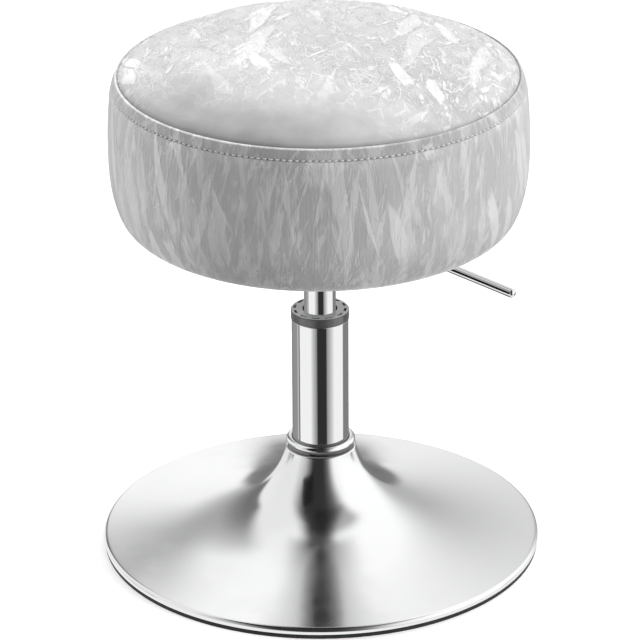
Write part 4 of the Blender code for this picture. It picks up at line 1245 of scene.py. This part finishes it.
def panel_painted_shade(tree, place):
    """Painted shade on the panel: dark where its edge dips into the seam, less so to the right and at the
    back, and darker towards the front left edge, with a lighter band a little way in.
    """
    flat = add_node(tree, "VectorMath", {0: place, 1: (1.0, 1.0, 0.0)}, operation="MULTIPLY")
    reach = add_node(tree, "VectorMath", {0: flat}, output="Value", operation="LENGTH")
    rim = grey_ramp(tree, reach, seam_dip_painted_shades)
    side = add_node(tree, "SeparateXYZ", {"Vector": place}, output=0)
    depth = add_node(tree, "SeparateXYZ", {"Vector": place}, output=1)
    rim = shade(tree, spread(tree, side, 0.05, 0.15, 0.0, 0.5), rim, grey(1.0))
    rim = shade(tree, spread(tree, depth, -0.04, 0.03), rim, grey(1.0))
    along = add_node(tree, "VectorMath", {0: place, 1: front_left_shade_way}, output="Value", operation="DOT_PRODUCT")
    front_left_shade = grey_ramp(tree, along, front_left_painted_shades)
    # Painted shade, darker towards the front edge.
    front_left_shade = times(tree, front_left_shade, spread(tree, depth, -0.165, -0.125, 0.86, 1.0))
    return times(tree, rim, front_left_shade)


def crushed_part(tree, place):
    """Where the panel is crushed: all of it but the front left, which lies smooth."""
    uneven = wander(tree, place, 16.0, 0.06)
    along = add_node(tree, "VectorMath", {0: uneven, 1: smooth_way}, output="Value", operation="DOT_PRODUCT")
    return spread(tree, along, smooth_until, marked_from)


def flake_shades(tree, place, *flake):
    """The shaded side of each flake: the same flakes, moved a little to the front and right."""
    moved = add_node(tree, "VectorMath", {0: place, 1: flake_shadow}, operation="ADD")
    return pressed_flakes(tree, moved, *flake)


flake_shadow = (-0.0009, 0.0014, 0.0)
flakes = (
    (0.25, 0.0, (1.0, 0.16, 1.0), 62.0, 0.08, 0.10),
    (-0.35, 0.0, (1.0, 0.20, 1.0), 95.0, 0.10, 0.12),
    (0.6, 0.0, (1.0, 0.22, 1.0), 170.0, 0.11, 0.16),
    (-0.15, 0.0, (1.0, 0.25, 1.0), 260.0, 0.10, 0.20),
)
top_marks = [
    (brushed_patches, (0.3, 0.0, (1.0, 0.35, 1.0), 40.0, 0.50, 0.62), 0.63, 0.7),
    (brushed_patches, (-0.5, 0.0, (1.0, 0.30, 1.0), 110.0, 0.54, 0.62), 0.47, 0.5),
    (crumpled_folds, ((1.0, 0.45, 1.0), 74.0, 0.030, 0.40), 0.40, 0.6),
    (winding_folds, ((1.0, 0.45, 1.0), 80.0, 0.012, 0.40), 0.40, 0.6),
]
top_marks += [(flake_shades, flake, 0.38, 0.7) for flake in flakes[:3]]
top_marks += [(pressed_flakes, flake, 0.97, 1.0) for flake in flakes]
top_marks += [
    (crumpled_folds, ((1.0, 0.45, 1.0), 60.0, 0.032, 0.55), 0.98, 1.0),
    (crumpled_folds, ((1.0, 0.45, 1.0), 120.0, 0.050, 0.50), 0.96, 0.9),
    (winding_folds, ((1.0, 0.45, 1.0), 60.0, 0.016, 0.50), 0.96, 0.8),
]
# The panel's ground grey, 0.53 against the band's 0.40 for the same velvet, is painted light on the top.
top_velvet = crushed_velvet("top_velvet", 0.53, (60.0, 60.0, 60.0), top_marks, 0.0013, panel_painted_shade,
                            crushed_part)
dress(panel, top_velvet, "seat", "silver_velvet", "top_panel")


# Topstitching. One row of pale grey thread holds the seam allowance down, in stitches about 5 mm long
# that sink into the velvet at each needle hole.


def sewing_thread(name):
    """Pale grey twisted thread."""
    finish, tree, shader, place = new_finish(name)
    lay = clouds(tree, place, 1500.0, 3.0)
    set_inputs(tree, shader, {
        "Base Color": shade(tree, lay, grey(0.66), grey(0.82)),
        "Roughness": spread(tree, lay, 0.3, 0.7, 0.5, 0.7),
        "Normal": bumps(tree, lay, 0.4, 0.0002),
    })
    return finish


thread_radius = 0.00065
thread_end = 0.6
stitch_radius = side_radius(stitch_height, groove)
stitch_pitch = math.tau * stitch_radius / stitch_count
stitch_length = stitch_pitch * 0.74
stitch_rise = 0.0008
stitch_steps = 5

stitches = add_shape(
    "top_stitching", bpy.ops.mesh.primitive_circle_add, vertices=6, radius=thread_radius * thread_end,
    fill_type="NGON", rotation=(math.radians(90), 0.0, 0.0),
    location=(stitch_radius, -stitch_length / 2, stitch_height),
)
bpy.ops.object.mode_set(mode="EDIT")
bpy.ops.mesh.select_all(action="SELECT")
for step in range(1, stitch_steps + 1):
    here = (step - 1) / stitch_steps
    there = step / stitch_steps
    rise = stitch_rise * (math.sin(math.pi * there) - math.sin(math.pi * here))
    bpy.ops.mesh.extrude_region_move(
        TRANSFORM_OT_translate={"value": (rise, stitch_length / stitch_steps, 0.0)})
    grow = {1: 1.6, stitch_steps: thread_end}.get(step, 1.0)
    place = (stitch_radius + stitch_rise * math.sin(math.pi * there),
             stitch_length * (there - 0.5), stitch_height)
    bpy.ops.transform.resize(value=(grow, 1.0, grow), center_override=place)
face_out()
bpy.ops.mesh.spin(steps=stitch_count - 1, dupli=True, angle=math.tau * (stitch_count - 1) / stitch_count,
                  center=(0.0, 0.0, 0.0), axis=(0.0, 0.0, 1.0))
bpy.ops.object.mode_set(mode="OBJECT")
select_only(stitches)
bpy.ops.object.transform_apply(location=True, rotation=True, scale=True)
stitches.data.transform(Matrix.Rotation(math.pi / stitch_count, 4, "Z"))
bpy.ops.object.shade_smooth()
dress(stitches, sewing_thread("pale_thread"), "seat", "silver_velvet")


# Studio. A white floor and backdrop, three soft lamps, and a surround of white, grey and dark panels that
# the chrome mirrors. The camera stands where the photograph was taken.

scene.view_settings.view_transform = "Standard"

floor_size = 30.0
floor_glow = 0.40
rim_floor_width = 0.018
rim_floor_fade = 0.008
floor = add_shape("studio_floor", bpy.ops.mesh.primitive_plane_add, size=floor_size)
floor_paint = bpy.data.materials.new("studio_floor")
floor_paint.use_nodes = True
tree = floor_paint.node_tree
tree.nodes.clear()
seen = add_node(tree, "LightPath", {}, output="Is Camera Ray")
painted = add_node(tree, "BsdfDiffuse", {"Color": shade(tree, seen, grey(0.55), grey(0.80))})
glow = add_node(tree, "Emission", {"Color": grey(1.0), "Strength": times(tree, seen, floor_glow)})
lit_floor = add_node(tree, "AddShader", {0: painted, 1: glow})
see_through = add_node(tree, "BsdfTransparent", {})
mirrored = add_node(tree, "LightPath", {}, output="Is Glossy Ray")
below = add_node(tree, "NewGeometry", {}, output="Backfacing")
place = add_node(tree, "TexCoord", {}, output="Object")
reach = add_node(tree, "VectorMath", {0: place}, output="Value", operation="LENGTH")
rim_floor_end = base_radius + rim_floor_width
far_off = spread(tree, reach, rim_floor_end, rim_floor_end + rim_floor_fade)
rim_floor = add_node(tree, "Emission", {"Color": grey(0.92)})
mirrored_floor = add_node(tree, "MixShader", {0: far_off, 1: rim_floor, 2: see_through})
surface = add_node(tree, "MixShader", {0: mirrored, 1: lit_floor, 2: mirrored_floor})
surface = add_node(tree, "MixShader", {0: below, 1: surface, 2: see_through})
floor_output = tree.nodes.new("ShaderNodeOutputMaterial")
tree.links.new(surface, floor_output.inputs["Surface"])
floor.data.materials.append(floor_paint)

# The surround, as greys by compass angle: 0 is towards the camera and 90 to the right of the stool.
low_panels = (
    (-180, 0.24), (-150, 0.26), (-130, 0.30), (-108, 0.30), (-105, 0.55), (-99, 0.55), (-97, 0.12),
    (-93, 0.12), (-90, 0.95), (-40, 0.95), (-30, 0.60), (-14, 0.25), (-11, 0.03), (24, 0.03), (28, 0.30),
    (45, 0.60), (60, 0.95), (103, 0.95), (107, 0.22), (180, 0.24),
)
# The walls and the cards in front of them as seen in plan, by how far a ray runs across and back.
wall_levels = ((-1.0, 0.88), (-0.4, 0.91), (-0.2, 1.0), (-0.06, 1.06), (0.5, 1.08), (1.0, 1.09))
front_card = ((-1.0, 0.96), (-0.80, 0.72), (-0.70, 0.56), (-0.60, 0.34), (-0.50, 0.16), (-0.38, 0.03),
              (0.12, 0.03), (0.30, 0.11), (0.40, 0.28), (0.50, 0.60), (0.60, 0.90), (0.80, 1.0), (1.0, 1.0))
card_widths = ((-1.0, 1.0), (-0.45, 1.0), (-0.2, 0.75), (0.0, 0.36), (0.2, 0.20), (0.6, 0.08),
               (1.0, 0.08))
strip_widths = ((0.25, 0.24), (0.31, 0.22), (0.45, 0.145), (0.55, 0.095), (0.63, 0.065), (0.70, 0.049),
                (0.74, 0.038))
strip_levels = ((0.0, 0.48), (0.7, 0.56), (1.2, 1.0))
# What the column mirrors where the base shows the column in turn: the shade under the seat.
second_panels = ((-180, 0.42), (-132, 0.34), (-100, 0.28), (-60, 0.14), (-22, 0.03), (22, 0.03), (60, 0.12),
                 (90, 0.20), (130, 0.27), (180, 0.42))
second_low = 0.18
left_card = ((-0.645, 1.0), (-0.605, 0.16), (-0.50, 0.19), (-0.42, 0.27), (-0.36, 0.40), (-0.29, 0.60),
             (-0.22, 1.0))
# Grey cards behind the stool: left and right edge, near and far edge, blur and grey.
soft_cards = (
    (-0.44, -0.13, 0.77, 0.89, 0.06, 0.41),
    (0.14, 0.66, 0.74, 1.40, 0.18, 0.48),
    (-0.10, 0.50, -0.34, 0.14, 0.10, 0.44),
)
# The dark band at the foot of the back wall: its greys across, and how high it reaches, in shares of a
# lowest and a highest elevation.
foot_levels = ((-0.48, 0.85), (-0.42, 0.20), (0.60, 0.20), (0.70, 0.95))
foot_rises = ((-0.42, 0.47), (-0.30, 0.41), (-0.20, 0.22), (-0.13, 0.0), (-0.10, 0.0), (-0.035, 1.0),
              (0.035, 0.85), (0.08, 0.0), (0.12, 0.06), (0.20, 0.25), (0.33, 0.47), (0.60, 0.0))
foot_lowest, foot_highest = -5.5, 10.5
foot_blur = 2.5
# Where each of these begins and ends, by how far a ray runs back or up, or by its elevation in degrees.
left_card_back = (0.48, 0.58)
front_card_back = (0.30, 0.55)
strip_back = (0.22, 0.32)
strip_up = (0.25, 0.40)
foot_back = (0.3, 0.5)
foot_rise_back = (0.3, 0.6)
foot_from = (-20.0, -17.0)
second_from = (8.0, 20.0)
floor_from = (-0.52, -0.64)

studio = bpy.data.worlds.new("studio")
scene.world = studio
studio.use_nodes = True
tree = studio.node_tree
tree.nodes.clear()
look = add_node(tree, "TexCoord", {}, output="Generated")
parts = tree.nodes.new("ShaderNodeSeparateXYZ")
tree.links.new(look, parts.inputs["Vector"])
across, back, up = parts.outputs["X"], parts.outputs["Y"], parts.outputs["Z"]
front = times(tree, back, -1.0)
turn = add_node(tree, "Math", {0: across, 1: front}, operation="ARCTAN2")
compass = add_node(tree, "Math", {0: turn}, operation="DEGREES")
rise = add_node(tree, "Math", {0: up}, operation="ARCSINE")
rise = add_node(tree, "Math", {0: rise}, operation="DEGREES")
walls = grey_ramp(tree, across, wall_levels)
walls = shade(tree, spread(tree, back, *left_card_back), walls, grey_ramp(tree, across, left_card),
              blend_type="MULTIPLY")
for left, right, near, far, blur, level in soft_cards:
    inside = 1.0
    for way, edge, side in ((across, left, 1), (across, right, -1), (back, near, 1), (back, far, -1)):
        past_edge = spread(tree, way, edge - blur * side, edge + blur * side,
                           interpolation_type="SMOOTHSTEP")
        inside = times(tree, past_edge, inside)
    walls = shade(tree, inside, walls, grey(level), blend_type="DARKEN")
card_width = grey_ramp(tree, back, card_widths)
card_place = add_node(tree, "Math", {0: across, 1: card_width}, operation="DIVIDE")
card = grey_ramp(tree, card_place, front_card)
card = shade(tree, spread(tree, back, *front_card_back), card, grey(1.0))
walls = shade(tree, 1.0, walls, card, blend_type="MULTIPLY")
aside = add_node(tree, "Math", {0: across}, operation="ABSOLUTE")
strip_width = grey_ramp(tree, back, strip_widths)
strip_place = add_node(tree, "Math", {0: aside, 1: strip_width}, operation="DIVIDE")
strip = grey_ramp(tree, strip_place, strip_levels)
strip = shade(tree, spread(tree, back, *strip_back), grey(1.0), strip)
strip = shade(tree, spread(tree, up, *strip_up), grey(1.0), strip)
walls = shade(tree, 1.0, walls, strip, blend_type="MULTIPLY")
low = grey_ramp(tree, compass, low_panels)
at_back = times(tree, spread(tree, rise, *foot_from), spread(tree, back, *foot_back))
low = shade(tree, at_back, low, grey_ramp(tree, across, foot_levels))
foot_rise = grey_ramp(tree, across, foot_rises)
foot_rise = shade(tree, spread(tree, back, *foot_rise_back), grey(0.0), foot_rise)
foot_rise = spread(tree, foot_rise, 0.0, 1.0, foot_lowest, foot_highest)
above_foot = add_node(tree, "Math", {0: rise, 1: foot_rise}, operation="SUBTRACT")
surround = shade(tree, spread(tree, above_foot, -foot_blur, foot_blur), low, walls)
bounces = add_node(tree, "LightPath", {}, output="Glossy Depth")
twice = add_node(tree, "Math", {0: bounces, 1: 1.5}, operation="GREATER_THAN")
second = grey_ramp(tree, compass, second_panels)
second = shade(tree, spread(tree, rise, *second_from), grey(second_low), second)
surround = shade(tree, twice, surround, second)
surround = shade(tree, spread(tree, up, *floor_from), surround, grey(0.85))
seen = add_node(tree, "LightPath", {}, output="Is Camera Ray")
studio_light = add_node(tree, "Background", {"Color": surround, "Strength": 1.0})
backdrop = add_node(tree, "Background", {"Color": grey(1.0), "Strength": 1.0})
surface = add_node(tree, "MixShader", {0: seen, 1: studio_light, 2: backdrop})
world_output = tree.nodes.new("ShaderNodeOutputWorld")
tree.links.new(surface, world_output.inputs["Surface"])

lamp_target = Vector((0.0, 0.0, 0.38))
lamps = (
    ("soft_lamp_above", (0.5, 0.9, 2.2), 1.4, 15.0),
    ("soft_lamp_right", (1.5, -1.1, 0.8), 1.0, 22.5),
    ("soft_lamp_left", (-1.9, 0.3, 0.8), 1.0, 24.0),
)
for name, place, size, power in lamps:
    bpy.ops.object.light_add(type="AREA", location=place)
    lamp = bpy.context.object
    lamp.name = lamp.data.name = name
    lamp.data.shape = "DISK"
    lamp.data.size = size
    lamp.data.energy = power
    lamp.rotation_euler = (lamp_target - Vector(place)).to_track_quat("-Z", "Y").to_euler()
    lamp.visible_glossy = False
# The base shows no image of the seat, its lever or the guide, so mirrors leave them out.
unmirrored = [band, panel, stitches, padding, dust, staple, plate, socket, bracket, lever, guide]
for number in range(1, 5):
    unmirrored += [bpy.data.objects[f"hex_bolt_{number}"], bpy.data.objects[f"plain_washer_{number}"]]
    unmirrored.append(frame["nodes"][f"tee_nut_{number}"])
for node in ("seat_board", "lever_pivot", "release_pin", "valve_body", "rod_gland"):
    unmirrored.append(frame["nodes"][node])
for piece in unmirrored:
    piece.visible_glossy = False

# A black card on a stand to the front left, seen only in mirrors: a painted reflection that draws the dark
# line along the lever's mirror, in place of the seat's dark underside, which mirrors leave out.
flag_width, flag_height = 0.16, 0.34
flag_place = Vector((-0.165, -0.270, 0.34))
flag_turn = math.radians(-60)
flag = add_shape("black_flag", bpy.ops.mesh.primitive_plane_add, size=1.0)
flag.data.transform(Matrix.Diagonal((flag_width, flag_height, 1.0, 1.0)))
flag.data.transform(Matrix.Rotation(math.radians(90), 4, "X"))
flag.data.transform(Matrix.Translation(flag_place) @ Matrix.Rotation(flag_turn, 4, "Z"))
black_card = bpy.data.materials.new("black_card")
black_card.use_nodes = True
tree = black_card.node_tree
tree.nodes.clear()
card_face = add_node(tree, "BsdfDiffuse", {"Color": grey(0.01)})
card_output = tree.nodes.new("ShaderNodeOutputMaterial")
tree.links.new(card_face, card_output.inputs["Surface"])
flag.data.materials.append(black_card)
flag.visible_camera = flag.visible_diffuse = flag.visible_shadow = flag.visible_transmission = False

camera_place = Vector((0.0, -3.43805, 1.76830))
camera_pitch = math.radians(24.35)
camera_roll = math.radians(-0.334)
bpy.ops.object.camera_add(location=camera_place)
camera = bpy.context.object
camera.name = camera.data.name = "photo_camera"
camera.data.sensor_width = 36.0
camera.data.lens = 242.1
camera_turn = Matrix.Rotation(math.pi / 2 - camera_pitch, 4, "X") @ Matrix.Rotation(camera_roll, 4, "Z")
camera.matrix_world = Matrix.Translation(camera_place) @ camera_turn
scene.camera = camera
